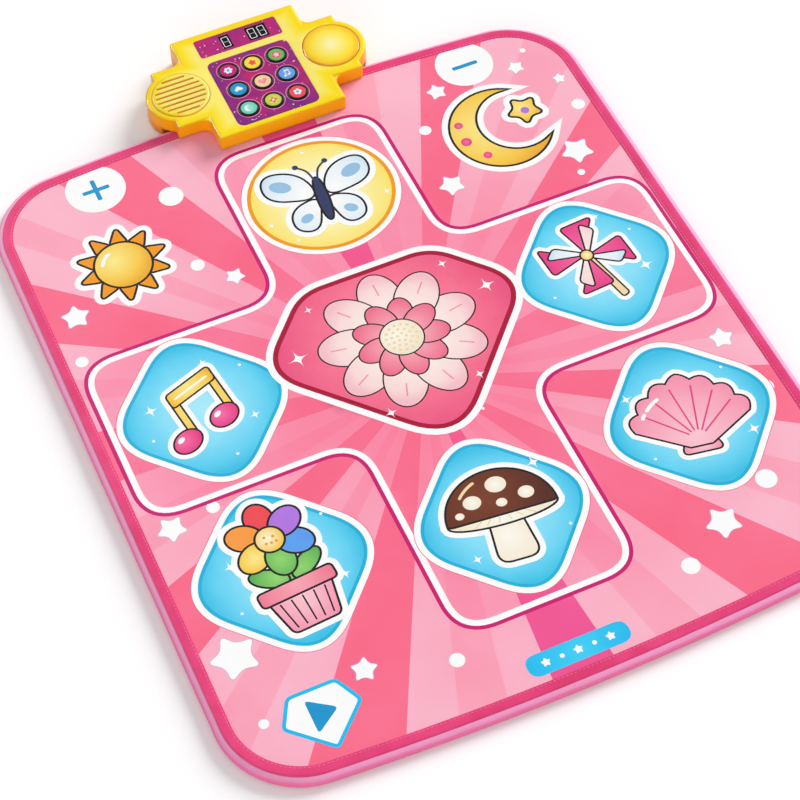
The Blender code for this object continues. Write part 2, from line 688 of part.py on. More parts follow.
def build_base():
    base = rounded_slab("console_base", BASE_EDGE_ROUND, BASE_Z, CONSOLE_HEIGHT, AMBER)
    under_tongue = box("mat_space", (-FAR, -FAR, -FAR), (FAR, STEP_Y, TONGUE_Z), CONSOLE)
    above = box("above_base", (-FAR, -FAR, PARTING_Z), (FAR, FAR, FAR), CONSOLE)
    boolean(base, "DIFFERENCE", joined("base_limits", [under_tongue, above], CONSOLE))
    well = slab("well", [console_outline(WALL)], WELL_Z, CONSOLE_HEIGHT, CONSOLE)
    boolean(well, "INTERSECT", box("well_limit", (-FAR, STEP_Y + WALL, 0), (FAR, FAR, FAR), CONSOLE))
    boolean(base, "DIFFERENCE", well)

    half_width, near, beyond = battery_bay()
    root = WELL_Z - FLOOR_WALL / 2
    low = (-half_width - BAY_WALL, near - BAY_WALL, root)
    high = (half_width + BAY_WALL, beyond + BAY_WALL, bay_top())
    boolean(base, "UNION", box("bay_block", low, high, CONSOLE))
    ear_near = door_near() - DOOR_CLEARANCE
    low = (-DOOR_EAR_HALF_WIDTH - BAY_WALL, ear_near - BAY_WALL, WELL_Z - FLOOR_WALL / 3)
    high = (DOOR_EAR_HALF_WIDTH + BAY_WALL, near - BAY_WALL / 2, WELL_Z + DOOR_PAD_HEIGHT)
    boolean(base, "UNION", box("ear_pad", low, high, CONSOLE))
    top = WELL_Z + PEDESTAL_HEIGHT
    posts = [rod("pedestal", END_CENTRE_X, 0, root, top, PEDESTAL_RADIUS, CONSOLE, PEDESTAL_STEPS)]
    for x, y in housing_screw_places():
        posts.append(rod("base_boss", x, y, root, PARTING_Z, BOSS_RADIUS, CONSOLE))
    boolean(base, "UNION", joined("base_posts", posts, CONSOLE))

    cuts = [box("bay_cut", (-half_width, near, -FAR), (half_width, beyond, FAR), CONSOLE)]
    hole = SCREW_RADIUS + SCREW_CLEARANCE
    for x, y in housing_screw_places() + clamp_screw_places():
        cuts.append(rod("screw_cut", x, y, -FAR, FAR, hole, CONSOLE))
    pilot = SCREW_RADIUS + DOOR_SCREW_CLEARANCE
    top = WELL_Z + DOOR_PAD_HEIGHT - DOOR_PAD_ROOF
    cuts.append(rod("door_screw_cut", 0, door_screw_y(), -FAR, top, pilot, CONSOLE))
    bore = STEM_RADIUS + STEM_CLEARANCE
    bore_low = WELL_Z + BORE_FLOOR
    cuts.append(rod("stem_bore", END_CENTRE_X, 0, bore_low, FAR, bore, CONSOLE, PEDESTAL_STEPS))
    slot = TAIL_THICKNESS / 2 + TAIL_SLOT_CLEARANCE
    reach = TAIL_WIDTH / 2 + TAIL_SLOT_CLEARANCE
    cuts.append(box("tail_cut", (-reach, TAIL_Y - slot, 0), (reach, TAIL_Y + slot, FAR), CONSOLE))
    boolean(base, "DIFFERENCE", joined("base_cuts", cuts, CONSOLE))

    door_depth = BASE_Z + DOOR_THICKNESS + SEAT_GAP - CUT_START
    recesses = [slab("door_cut", [door_points(DOOR_CLEARANCE)], CUT_START, door_depth, CONSOLE)]
    counterbore = BASE_Z + SCREW_HEAD_THICKNESS + 2 * SEAT_GAP
    head_hole = SCREW_HEAD_RADIUS + SCREW_CLEARANCE
    for x, y in housing_screw_places():
        recesses.append(rod("head_cut", x, y, CUT_START, counterbore, head_hole, CONSOLE))
    boolean(base, "DIFFERENCE", joined("base_recesses", recesses, CONSOLE))
    slots = []
    reach = DOOR_TAB_WIDTH / 2 + DOOR_CLEARANCE
    slot_far = beyond + DOOR_LAP + DOOR_TAB_REACH + DOOR_CLEARANCE
    for x in door_tab_places():
        low = (x - reach, beyond - OVERLAP / 2, door_tab_low() - SEAT_GAP)
        high = (x + reach, slot_far, WELL_Z + DOOR_TAB_HEADROOM)
        slots.append(box("tab_cut", low, high, CONSOLE))
    boolean(base, "DIFFERENCE", joined("tab_slots", slots, CONSOLE))
    merge_flat_faces(base)


def merge_flat_faces(obj):
    """Dissolves the edges that the cuts leave inside flat faces."""
    step = obj.modifiers.new("flat_faces", "DECIMATE")
    step.decimate_type = "DISSOLVE"
    step.angle_limit = math.radians(0.5)


def bay_top():
    return BASE_Z + DOOR_THICKNESS + 2 * SEAT_GAP + 2 * CELL_RADIUS


def door_near():
    return battery_bay()[1] - DOOR_EAR_LENGTH


def door_screw_y():
    return door_near() + DOOR_EAR_LENGTH / 2 - DOOR_LAP / 2


def door_tab_places():
    return [side * battery_bay()[0] / 2 for side in (-1, 1)]


def door_tab_low():
    return BASE_Z + DOOR_THICKNESS - DOOR_TAB_DROP - DOOR_TAB_THICKNESS


def door_points(grow=0.0):
    """The battery door's plate: a rectangle with an ear for its screw."""
    half_width, near, beyond = battery_bay()
    side = half_width + DOOR_LAP + grow
    ear = DOOR_EAR_HALF_WIDTH + grow
    plate_near = near - DOOR_LAP - grow
    ear_near = door_near() - grow
    far = beyond + DOOR_LAP + grow
    right = [(ear, ear_near), (ear, plate_near), (side, plate_near), (side, far)]
    return right + [(-x, y) for x, y in reversed(right)]


def build_battery_door():
    """Hinged by two tabs at its far edge, its origin on that axis."""
    far = battery_bay()[2] + DOOR_LAP
    plate = [(x, y - far) for x, y in door_points()]
    door = slab("battery_door", [plate], 0.0, DOOR_THICKNESS, CONSOLE, AMBER, (0, far, BASE_Z))
    tabs = []
    for x in door_tab_places():
        low = (x - DOOR_TAB_WIDTH / 2, far - OVERLAP, door_tab_low())
        high = (x + DOOR_TAB_WIDTH / 2, far + DOOR_TAB_REACH, door_tab_low() + DOOR_TAB_THICKNESS)
        tabs.append(box("door_tab", low, high, CONSOLE))
    boolean(door, "UNION", joined("door_tabs", tabs, CONSOLE))
    y = door_screw_y()
    hole = rod("door_hole", 0, y, CUT_START, FAR, SCREW_RADIUS + SCREW_CLEARANCE, CONSOLE)
    boolean(door, "DIFFERENCE", hole)
    head_top = BASE_Z - SEAT_GAP
    tip = BASE_Z + DOOR_THICKNESS + DOOR_SCREW_BITE
    screw("battery_door_screw", 0, y, head_top - SCREW_HEAD_THICKNESS, tip)


def build_shell():
    shell = rounded_slab("console_shell", TOP_EDGE_ROUND, 0.0, CONSOLE_HEIGHT, YELLOW)
    root = CEILING_Z + TOP_WALL / 4
    disc = [
        (0, CONSOLE_HEIGHT + GRILLE_DISC_RISE),
        (GRILLE_DISC_RADIUS - GRILLE_DISC_RISE, CONSOLE_HEIGHT + GRILLE_DISC_RISE),
        (GRILLE_DISC_RADIUS, CONSOLE_HEIGHT),
        (GRILLE_DISC_RADIUS, root),
        (0, root),
    ]
    place = (-END_CENTRE_X, 0, 0)
    boolean(shell, "UNION", turned("grille_disc", disc, CONSOLE, None, place, GRILLE_DISC_STEPS))
    boolean(shell, "DIFFERENCE", box("below_shell", (-FAR, -FAR, -FAR), (FAR, FAR, SHELL_Z), CONSOLE))
    cavity = slab("shell_cavity", [console_outline(WALL)], CUT_START, CEILING_Z - CUT_START, CONSOLE)
    boolean(shell, "DIFFERENCE", cavity)

    pegs = []
    for x, y in housing_screw_places() + clamp_screw_places():
        pegs.append(rod("shell_boss", x, y, SHELL_Z, root, BOSS_RADIUS, CONSOLE))
    post_low = BOARD_TOP_Z + SEAT_GAP
    for x, y in board_post_places():
        pegs.append(rod("board_post", x, y, post_low, root, BOARD_POST_RADIUS, CONSOLE))
    ring_inner = SPEAKER_RADIUS + SEAT_GAP
    ring_low = CEILING_Z - SEAT_GAP - SPEAKER_RIM_THICKNESS
    ring = [
        (ring_inner + RIB_THICKNESS, root),
        (ring_inner + RIB_THICKNESS, ring_low),
        (ring_inner, ring_low),
        (ring_inner, root),
    ]
    pegs.append(turned("speaker_rib", ring, CONSOLE, None, place, SPEAKER_STEPS))
    boolean(shell, "UNION", joined("shell_bosses", pegs, CONSOLE))

    recesses = []
    for size, y, corner in (
        (DISPLAY_LABEL_SIZE, DISPLAY_LABEL_Y, DISPLAY_LABEL_CORNER),
        (KEYPAD_LABEL_SIZE, KEYPAD_LABEL_Y, KEYPAD_LABEL_CORNER),
    ):
        half_x = size[0] / 2 + LABEL_CLEARANCE
        half_y = size[1] / 2 + LABEL_CLEARANCE
        outline = rounded_rectangle(0, y, half_x, half_y, corner + LABEL_CLEARANCE)
        floor_z = CONSOLE_HEIGHT - LABEL_RECESS
        recesses.append(slab("label_recess", [outline], floor_z, LABEL_RECESS + OVERLAP, CONSOLE))
    boolean(shell, "DIFFERENCE", joined("label_recesses", recesses, CONSOLE))

    holes = []
    under = CEILING_Z - OVERLAP
    button_hole = BUTTON_RADIUS + BUTTON_CLEARANCE
    for x, y in button_places():
        holes.append(rod("button_hole", x, y, under, FAR, button_hole, CONSOLE, BUTTON_STEPS))
    round_hole = ROUND_BUTTON_RADIUS + ROUND_BUTTON_CLEARANCE
    holes.append(rod("round_hole", END_CENTRE_X, 0, under, FAR, round_hole, CONSOLE, ROUND_HOLE_STEPS))
    for x, width in digit_windows():
        low = (x - width / 2, DISPLAY_LABEL_Y - WINDOW_DEPTH / 2, under)
        high = (x + width / 2, DISPLAY_LABEL_Y + WINDOW_DEPTH / 2, FAR)
        holes.append(box("window", low, high, CONSOLE))
    for i in range(SLOT_COUNT):
        y = (i - (SLOT_COUNT - 1) / 2) * SLOT_PITCH
        reach = math.sqrt(SLOT_CIRCLE_RADIUS**2 - y**2)
        slot = slot_outline(-END_CENTRE_X, y, reach, SLOT_WIDTH / 2)
        holes.append(slab("grille_slot", [slot], under, CONSOLE_HEIGHT, CONSOLE))
    pilot = SCREW_RADIUS + SCREW_CLEARANCE / 3
    pilot_top = SHELL_Z + SCREW_BITE + OVERLAP
    for x, y in housing_screw_places() + clamp_screw_places():
        holes.append(rod("pilot_hole", x, y, CUT_START, pilot_top, pilot, CONSOLE))
    reach = SLIDER_SIZE[0] / 2 + SWITCH_TRAVEL / 2 + SLIDER_CLEARANCE
    tall = SLIDER_SIZE[2] / 2 + SLIDER_CLEARANCE
    low = (SWITCH_X - reach, BLOCK_HALF_DEPTH - WALL - OVERLAP, SWITCH_Z - tall)
    high = (SWITCH_X + reach, BLOCK_HALF_DEPTH + OVERLAP, SWITCH_Z + tall)
    holes.append(box("switch_slot", low, high, CONSOLE))
    boolean(shell, "DIFFERENCE", joined("shell_holes", holes, CONSOLE))
    merge_flat_faces(shell)


def clamp_screw_places():
    return [(side * CLAMP_SCREW_X, CLAMP_SCREW_Y) for side in (-1, 1)]


def board_post_places():
    x = BOARD_HALF_WIDTH - BOARD_POST_INSET
    y = BOARD_HALF_DEPTH - BOARD_POST_INSET
    return [(-x, -y), (x, -y), (-x, y), (x, y)]


def digit_windows():
    """Middle and width of each window, the one-digit one first."""
    return [
        (DISPLAY_LABEL_SIZE[0] * LEVEL_WINDOW_SHARE, LEVEL_WINDOW_WIDTH),
        (DISPLAY_LABEL_SIZE[0] * SCORE_WINDOW_SHARE, SCORE_WINDOW_WIDTH),
    ]


def build_labels():
    z = CONSOLE_HEIGHT - LABEL_RECESS + SEAT_GAP
    half_x, half_y = DISPLAY_LABEL_SIZE[0] / 2, DISPLAY_LABEL_SIZE[1] / 2
    outlines = [rounded_rectangle(0, DISPLAY_LABEL_Y, half_x, half_y, DISPLAY_LABEL_CORNER)]
    for x, width in digit_windows():
        outlines.append(rounded_rectangle(x, DISPLAY_LABEL_Y, width / 2, WINDOW_DEPTH / 2, 0.0005, 1))
    slab("display_label", outlines, z, LABEL_THICKNESS, CONSOLE, PURPLE)
    half_x, half_y = KEYPAD_LABEL_SIZE[0] / 2, KEYPAD_LABEL_SIZE[1] / 2
    outlines = [rounded_rectangle(0, KEYPAD_LABEL_Y, half_x, half_y, KEYPAD_LABEL_CORNER)]
    for x, y in button_places():
        outlines.append(circle(x, y, BUTTON_RADIUS + BUTTON_CLEARANCE, BUTTON_STEPS))
    slab("keypad_label", outlines, z, LABEL_THICKNESS, CONSOLE, PURPLE)


def build_mode_buttons():
    """Nine caps held under the shell by a flange, each with a stem over its rubber dome."""
    top = CONSOLE_HEIGHT + BUTTON_PROUD
    flange_top = CEILING_Z - SEAT_GAP
    flange_low = flange_top - BUTTON_FLANGE_THICKNESS
    stem_low = dome_top() + SEAT_GAP
    round_off = BUTTON_PROUD / 3
    profile = [
        (0, top - BUTTON_FACE_STEP),
        (BUTTON_FACE_RADIUS, top - BUTTON_FACE_STEP),
        (BUTTON_FACE_RADIUS + BUTTON_FACE_STEP, top),
        (BUTTON_RADIUS - round_off, top),
        (BUTTON_RADIUS, top - round_off),
        (BUTTON_RADIUS, flange_top),
        (BUTTON_RADIUS + BUTTON_FLANGE, flange_top),
        (BUTTON_RADIUS + BUTTON_FLANGE, flange_low),
        (BUTTON_STEM_RADIUS, flange_low),
        (BUTTON_STEM_RADIUS, stem_low),
        (0, stem_low),
    ]
    profile = [(r, z - CONSOLE_HEIGHT) for r, z in profile]
    for number, (x, y) in enumerate(button_places(), 1):
        turned(f"mode_button_{number}", profile, CONSOLE, BLACK, (x, y, CONSOLE_HEIGHT), BUTTON_STEPS)


def dome_top():
    return BOARD_TOP_Z + SEAT_GAP + KEYPAD_THICKNESS + DOME_HEIGHT


def build_electronics():
    z = BOARD_TOP_Z + SEAT_GAP
    reach_x = BUTTON_PITCH_X + KEYPAD_MARGIN
    reach_y = BUTTON_PITCH_Y + KEYPAD_MARGIN
    middle_y = KEYPAD_LABEL_Y + BUTTON_GRID_STEP_Y
    sheet = rounded_rectangle(0, middle_y, reach_x, reach_y, KEYPAD_CORNER, 3)
    keypad = slab("rubber_keypad", [sheet], z, KEYPAD_THICKNESS, CONSOLE, SILICONE)
    domes = []
    root = z + KEYPAD_THICKNESS / 2
    for x, y in button_places():
        shoulder = DOME_RADIUS * DOME_TOP_SHARE
        profile = [(0, dome_top()), (shoulder, dome_top()), (DOME_RADIUS, root), (0, root)]
        domes.append(turned("dome", profile, CONSOLE, None, (x, y, 0), DOME_STEPS))
    boolean(keypad, "UNION", joined("domes", domes, CONSOLE))

    board = rounded_rectangle(0, 0, BOARD_HALF_WIDTH, BOARD_HALF_DEPTH, BOARD_CORNER, 2)
    slab("circuit_board", [board], BOARD_UNDERSIDE_Z, BOARD_THICKNESS, CONSOLE, BOARD_GREEN)
    face = CONSOLE_HEIGHT - DIGIT_STEP
    for name, (x, width) in zip(("level_digit", "score_digits"), digit_windows()):
        half_x = width / 2 - WINDOW_CLEARANCE
        half_y = WINDOW_DEPTH / 2 - WINDOW_CLEARANCE
        low = (x - half_x, DISPLAY_LABEL_Y - half_y, BOARD_TOP_Z + SEAT_GAP)
        box(name, low, (x + half_x, DISPLAY_LABEL_Y + half_y, face), CONSOLE, BLACK)

    top = BOARD_UNDERSIDE_Z - SEAT_GAP
    half_x, half_y = CONNECTOR_SIZE[0] / 2, CONNECTOR_SIZE[1] / 2
    low = (-half_x, TAIL_Y - half_y, top - CONNECTOR_SIZE[2])
    box("tail_connector", low, (half_x, TAIL_Y + half_y, top), CONSOLE, BLACK)
    low = (-TAIL_WIDTH / 2, TAIL_Y - TAIL_THICKNESS / 2, TOP_COVER_Z)
    high = (TAIL_WIDTH / 2, TAIL_Y + TAIL_THICKNESS / 2, top - CONNECTOR_SIZE[2] - SEAT_GAP)
    box("sensor_tail", low, high, CONSOLE, FILM_CLEAR)


def build_speaker():
    rim_top = CEILING_Z - SEAT_GAP
    rim_low = rim_top - SPEAKER_RIM_THICKNESS
    floor_low = rim_top - SPEAKER_DEPTH
    floor_top = floor_low + SPEAKER_PAN_THICKNESS
    mouth = SPEAKER_RADIUS - SPEAKER_RIM_WIDTH
    place = (-END_CENTRE_X, 0, 0)
    basket = [
        (SPEAKER_RADIUS, rim_top),
        (SPEAKER_RADIUS, rim_low),
        (mouth + SPEAKER_PAN_THICKNESS, rim_low),
        (MAGNET_RADIUS + 1.5 * SPEAKER_PAN_THICKNESS, floor_low),
        (COIL_RADIUS, floor_low),
        (COIL_RADIUS, floor_top),
        (MAGNET_RADIUS + 0.8 * SPEAKER_PAN_THICKNESS, floor_top),
        (mouth, rim_top),
    ]
    turned("speaker_frame", basket, CONSOLE, STEEL, place, SPEAKER_STEPS)
    edge = mouth - CONE_CLEARANCE
    edge_z = rim_top - SEAT_GAP
    neck = COIL_RADIUS + CONE_NECK_STEP
    neck_z = floor_top + CONE_NECK_HEIGHT
    cone = [
        (0, neck_z + DUST_CAP_RISE),
        (neck * 0.6, neck_z + DUST_CAP_RISE * 0.8),
        (neck, neck_z),
        (edge - CONE_THICKNESS / 2, edge_z),
        (edge, edge_z - CONE_THICKNESS),
        (neck, neck_z - CONE_THICKNESS),
        (0, neck_z + DUST_CAP_RISE - CONE_THICKNESS),
    ]
    turned("speaker_cone", cone, CONSOLE, PAPER, place, SPEAKER_STEPS)
    top = floor_low - SEAT_GAP
    low = top - MAGNET_THICKNESS
    magnet = [
        (0, top),
        (MAGNET_RADIUS, top),
        (MAGNET_RADIUS, low + MAGNET_LIP),
        (MAGNET_RADIUS - MAGNET_LIP, low),
        (0, low),
    ]
    turned("speaker_magnet", magnet, CONSOLE, STEEL, place, SPEAKER_STEPS)
    top = rim_low - SEAT_GAP
    inner = SPEAKER_RADIUS - CLAMP_LAP / 2
    outer = SPEAKER_RADIUS + CLAMP_LAP
    low = top - CLAMP_THICKNESS
    clamp = [(outer, top), (outer, low), (inner, low), (inner, top)]
    turned("speaker_clamp", clamp, CONSOLE, BLACK, place, SPEAKER_STEPS)


def build_round_button():
    """A crowned cap that slides on a stem in the base's pedestal, over a coil spring."""
    rim = CONSOLE_HEIGHT + ROUND_BUTTON_PROUD
    flange_top = CEILING_Z - SEAT_GAP
    flange_low = flange_top - BUTTON_FLANGE_THICKNESS
    under = rim - ROUND_BUTTON_WALL
    inner = ROUND_BUTTON_RADIUS - ROUND_BUTTON_WALL
    pedestal_top = WELL_Z + PEDESTAL_HEIGHT
    stem_low = pedestal_top - STEM_REACH
    crown = []
    for i in range(CROWN_STEPS + 1):
        share = i / CROWN_STEPS
        radius = (ROUND_BUTTON_RADIUS - ROUND_BUTTON_PROUD) * share
        crown.append((radius, rim + ROUND_BUTTON_CROWN * (1 - share**2)))
    profile = crown + [
        (ROUND_BUTTON_RADIUS, rim - ROUND_BUTTON_PROUD),
        (ROUND_BUTTON_RADIUS, flange_top),
        (ROUND_BUTTON_RADIUS + ROUND_BUTTON_FLANGE, flange_top),
        (ROUND_BUTTON_RADIUS + ROUND_BUTTON_FLANGE, flange_low),
        (inner, flange_low),
        (inner, under),
        (STEM_RADIUS, under),
        (STEM_RADIUS, stem_low),
        (0, stem_low),
    ]
    place = (END_CENTRE_X, 0, CONSOLE_HEIGHT)
    profile = [(r, z - CONSOLE_HEIGHT) for r, z in profile]
    turned("round_button", profile, CONSOLE, YELLOW, place, ROUND_BUTTON_STEPS)

    low = pedestal_top + SEAT_GAP
    high = under - SEAT_GAP
    points = helix(SPRING_RADIUS, SPRING_RADIUS, SPRING_WIRE, low, high, SPRING_TURNS)
    coil("round_button_spring", points, SPRING_WIRE, (END_CENTRE_X, 0, 0), (0, 0, 0))

    low = WELL_Z + BORE_FLOOR + SEAT_GAP
    high = stem_low - ROUND_BUTTON_TRAVEL - SEAT_GAP
    cap = [(0, high), (SWITCH_RADIUS, high), (SWITCH_RADIUS, low), (0, low)]
    turned("round_button_switch", cap, CONSOLE, BLACK, (END_CENTRE_X, 0, 0), ROUND_SWITCH_STEPS)


def helix(start_radius, end_radius, wire, low, high, turns):
    """Centre line of a coil along Z that just fits between low and high."""
    count = turns * COIL_STEPS
    points = []
    for i in range(count + 1):
        share = i / count
        radius = start_radius + (end_radius - start_radius) * share
        angle = 2 * math.pi * i / COIL_STEPS
        z = low + wire + (high - low - 2 * wire) * share
        points.append((radius * math.cos(angle), radius * math.sin(angle), z))
    return points


def coil(name, points, wire, place, turn):
    curve = polyline(name, [points], flat=False)
    curve.bevel_depth = wire
    curve.bevel_resolution = 1
    curve.use_fill_caps = True
    obj = add_object(name, mesh_of_curve(curve), CONSOLE, STEEL, place)
    obj.rotation_euler = turn
    return obj


def build_batteries():
    """Cells side by side, each turned the other way, between a coil and a plate contact."""
    near, beyond = battery_bay()[1:]
    axis_z = BASE_Z + DOOR_THICKNESS + SEAT_GAP + CELL_RADIUS
    end = CELL_LENGTH + CELL_NUB_LENGTH
    cell = [
        (0, end),
        (CELL_NUB_RADIUS, end),
        (CELL_NUB_RADIUS, CELL_LENGTH),
        (CELL_RADIUS, CELL_LENGTH),
        (CELL_RADIUS, 0),
        (0, 0),
    ]
    for number in range(1, CELL_COUNT + 1):
        x = (number - (CELL_COUNT + 1) / 2) * CELL_PITCH
        forward = 1 if number % 2 else -1
        spring_end = near if forward > 0 else beyond
        plate_end = beyond if forward > 0 else near
        cell_start = spring_end + forward * (SEAT_GAP + CONTACT_SPRING_LENGTH + SEAT_GAP)
        tilt = (-forward * math.pi / 2, 0, 0)
        place = (x, cell_start, axis_z)
        body = turned(f"battery_cell_{number}", cell, CONSOLE, CELL_SKIN, place, CELL_STEPS)
        body.rotation_euler = tilt
        narrow = CONTACT_SPRING_RADIUS
        wide = narrow * CONTACT_FLARE
        points = helix(wide, narrow, CONTACT_WIRE, 0, CONTACT_SPRING_LENGTH, CONTACT_TURNS)
        start = spring_end + forward * SEAT_GAP
        coil(f"battery_spring_{number}", points, CONTACT_WIRE, (x, start, axis_z), tilt)
        plate_y = plate_end - forward * (SEAT_GAP + CONTACT_THICKNESS / 2)
        half_x = CELL_RADIUS * CONTACT_PLATE_SHARE[0]
        half_z = CELL_RADIUS * CONTACT_PLATE_SHARE[1]
        low = (x - half_x, plate_y - CONTACT_THICKNESS / 2, axis_z - half_z)
        high = (x + half_x, plate_y + CONTACT_THICKNESS / 2, axis_z + half_z)
        box(f"battery_plate_{number}", low, high, CONSOLE, STEEL)


def build_switch():
    inner_wall = BLOCK_HALF_DEPTH - WALL
    width, depth, height = SWITCH_BODY_SIZE
    far = inner_wall - SEAT_GAP
    low = (SWITCH_X - width / 2, far - depth, SWITCH_Z - height / 2)
    high = (SWITCH_X + width / 2, far, SWITCH_Z + height / 2)
    box("power_switch_body", low, high, CONSOLE, BLACK)
    half_x, depth, half_z = SLIDER_SIZE[0] / 2, SLIDER_SIZE[1], SLIDER_SIZE[2] / 2
    rest_x = SWITCH_X - SWITCH_TRAVEL / 2
    slab(
        "power_slider",
        [rounded_rectangle(0, depth / 2, half_x, depth / 2, SLIDER_CORNER, 2)],
        -half_z,
        2 * half_z,
        CONSOLE,
        BLACK,
        (rest_x, inner_wall, SWITCH_Z),
    )


def build_fasteners():
    for number, (x, y) in enumerate(housing_screw_places(), 1):
        screw(f"housing_screw_{number}", x, y, BASE_Z + SEAT_GAP, SHELL_Z + SCREW_BITE)
    for side, (x, y) in zip(("left", "right"), clamp_screw_places()):
        screw(f"retainer_screw_{side}", x, y, RETAINER_RECESS + SEAT_GAP, SHELL_Z + SCREW_BITE)
    lip = FOOT_HEIGHT / 4
    profile = [
        (0, FOOT_HEIGHT),
        (FOOT_RADIUS, FOOT_HEIGHT),
        (FOOT_RADIUS, lip),
        (FOOT_RADIUS - lip, 0),
        (0, 0),
    ]
    for number, (x, y) in enumerate(foot_places(), 1):
        turned(f"rubber_foot_{number}", profile, CONSOLE, RUBBER, (x, y, 0), FOOT_STEPS)


build_mat()
build_base()
build_battery_door()
build_shell()
build_labels()
build_mode_buttons()
build_electronics()
build_speaker()
build_round_button()
build_batteries()
build_switch()
build_fasteners()
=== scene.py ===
# %% [markdown]
# # An electronic dance mat
# The mat is a padded sheet about 80 cm wide. Its printed cover is sewn to a foam core, and a
# moulded console is clamped over its far edge. The measured solids come in as a frame, and this
# lesson dresses them: soft cloth pieces are modelled again, and plastic ones get their finish.

# %% Load the frame
import math
import random

import bmesh
import bpy
from mathutils import Matrix, Vector
from mathutils.geometry import delaunay_2d_cdt
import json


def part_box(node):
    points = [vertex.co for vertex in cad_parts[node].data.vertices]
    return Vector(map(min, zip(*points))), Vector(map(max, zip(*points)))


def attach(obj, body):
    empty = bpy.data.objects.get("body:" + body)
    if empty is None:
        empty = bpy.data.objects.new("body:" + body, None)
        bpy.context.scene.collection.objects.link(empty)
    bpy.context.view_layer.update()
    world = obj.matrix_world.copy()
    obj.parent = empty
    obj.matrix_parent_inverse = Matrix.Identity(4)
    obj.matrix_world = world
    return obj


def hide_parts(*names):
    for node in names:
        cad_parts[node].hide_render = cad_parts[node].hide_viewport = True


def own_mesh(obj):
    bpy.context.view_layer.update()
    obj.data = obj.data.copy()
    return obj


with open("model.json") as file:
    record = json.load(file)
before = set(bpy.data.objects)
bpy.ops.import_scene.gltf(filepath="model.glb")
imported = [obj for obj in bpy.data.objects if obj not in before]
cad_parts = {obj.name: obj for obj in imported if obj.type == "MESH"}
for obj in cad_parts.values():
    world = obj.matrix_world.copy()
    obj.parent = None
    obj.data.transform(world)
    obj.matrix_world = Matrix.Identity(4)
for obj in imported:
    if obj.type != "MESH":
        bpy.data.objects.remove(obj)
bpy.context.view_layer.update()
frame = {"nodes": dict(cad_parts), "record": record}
ROOT = "mat_and_console"

# %% [markdown]
# ## Camera
# The picture is taken from above the near left corner with a long lens. A camera that was solved
# from the mat's straight edges gives the same view, so it is set from three angles and a place.

# %% Camera
CAMERA_PLACE = (-0.6561, -1.5634, 2.2221)
CAMERA_AZIMUTH = math.radians(-22.912)
CAMERA_ELEVATION = math.radians(54.402)
CAMERA_ROLL = math.radians(-1.495)
LENS_MM = 102.22


def aim(azimuth, elevation, roll):
    """A camera's rotation: across, up and backward as the columns of a matrix."""
    forward = Vector(
        (
            -math.sin(azimuth) * math.cos(elevation),
            math.cos(azimuth) * math.cos(elevation),
            -math.sin(elevation),
        )
    )
    level = forward.cross(Vector((0, 0, 1))).normalized()
    upright = level.cross(forward)
    across = level * math.cos(roll) + upright * math.sin(roll)
    up = upright * math.cos(roll) - level * math.sin(roll)
    return Matrix((across, up, -forward)).transposed()


camera = bpy.data.objects.new("camera", bpy.data.cameras.new("camera"))
camera.data.lens = LENS_MM
camera.data.sensor_width = 36.0
camera.data.clip_start = 0.05
camera.matrix_world = aim(CAMERA_AZIMUTH, CAMERA_ELEVATION, CAMERA_ROLL).to_4x4()
camera.location = CAMERA_PLACE
bpy.context.scene.collection.objects.link(camera)
bpy.context.scene.camera = camera
print("camera at", CAMERA_PLACE, "lens", LENS_MM, "mm")

# %% [markdown]
# ## Colour
# Shaders work with linear light, while colours are picked as screen values from 0 to 255. One
# function turns the second kind into the first, so that a colour can be written as it looks.


# %% Colour helper
def paint(red, green, blue):
    """A screen colour as linear light, with full opacity."""
    linear = []
    for value in (red, green, blue):
        share = value / 255
        linear.append(share / 12.92 if share <= 0.04045 else ((share + 0.055) / 1.055) ** 2.4)
    return (*linear, 1.0)


print("pink as linear light:", [round(v, 3) for v in paint(252, 170, 195)])

# %% [markdown]
# ## Finishes
# A finish is a Principled shader with a few nodes in front of it. The same steps come back in
# each one: read the object's coordinates, make a pattern, and drive colour or relief with it. A
# small builder class keeps each finish down to the lines that make it different.


# %% Finish builder
def feed(tree, socket, value):
    """Give an input another node's output, or a plain value."""
    if isinstance(value, bpy.types.NodeSocket):
        tree.links.new(value, socket)
    else:
        socket.default_value = value


def add_node(tree, kind, inputs=(), **settings):
    made = tree.nodes.new(kind)
    for name, value in settings.items():
        setattr(made, name, value)
    for socket, value in dict(inputs).items():
        feed(tree, made.inputs[socket], value)
    return made


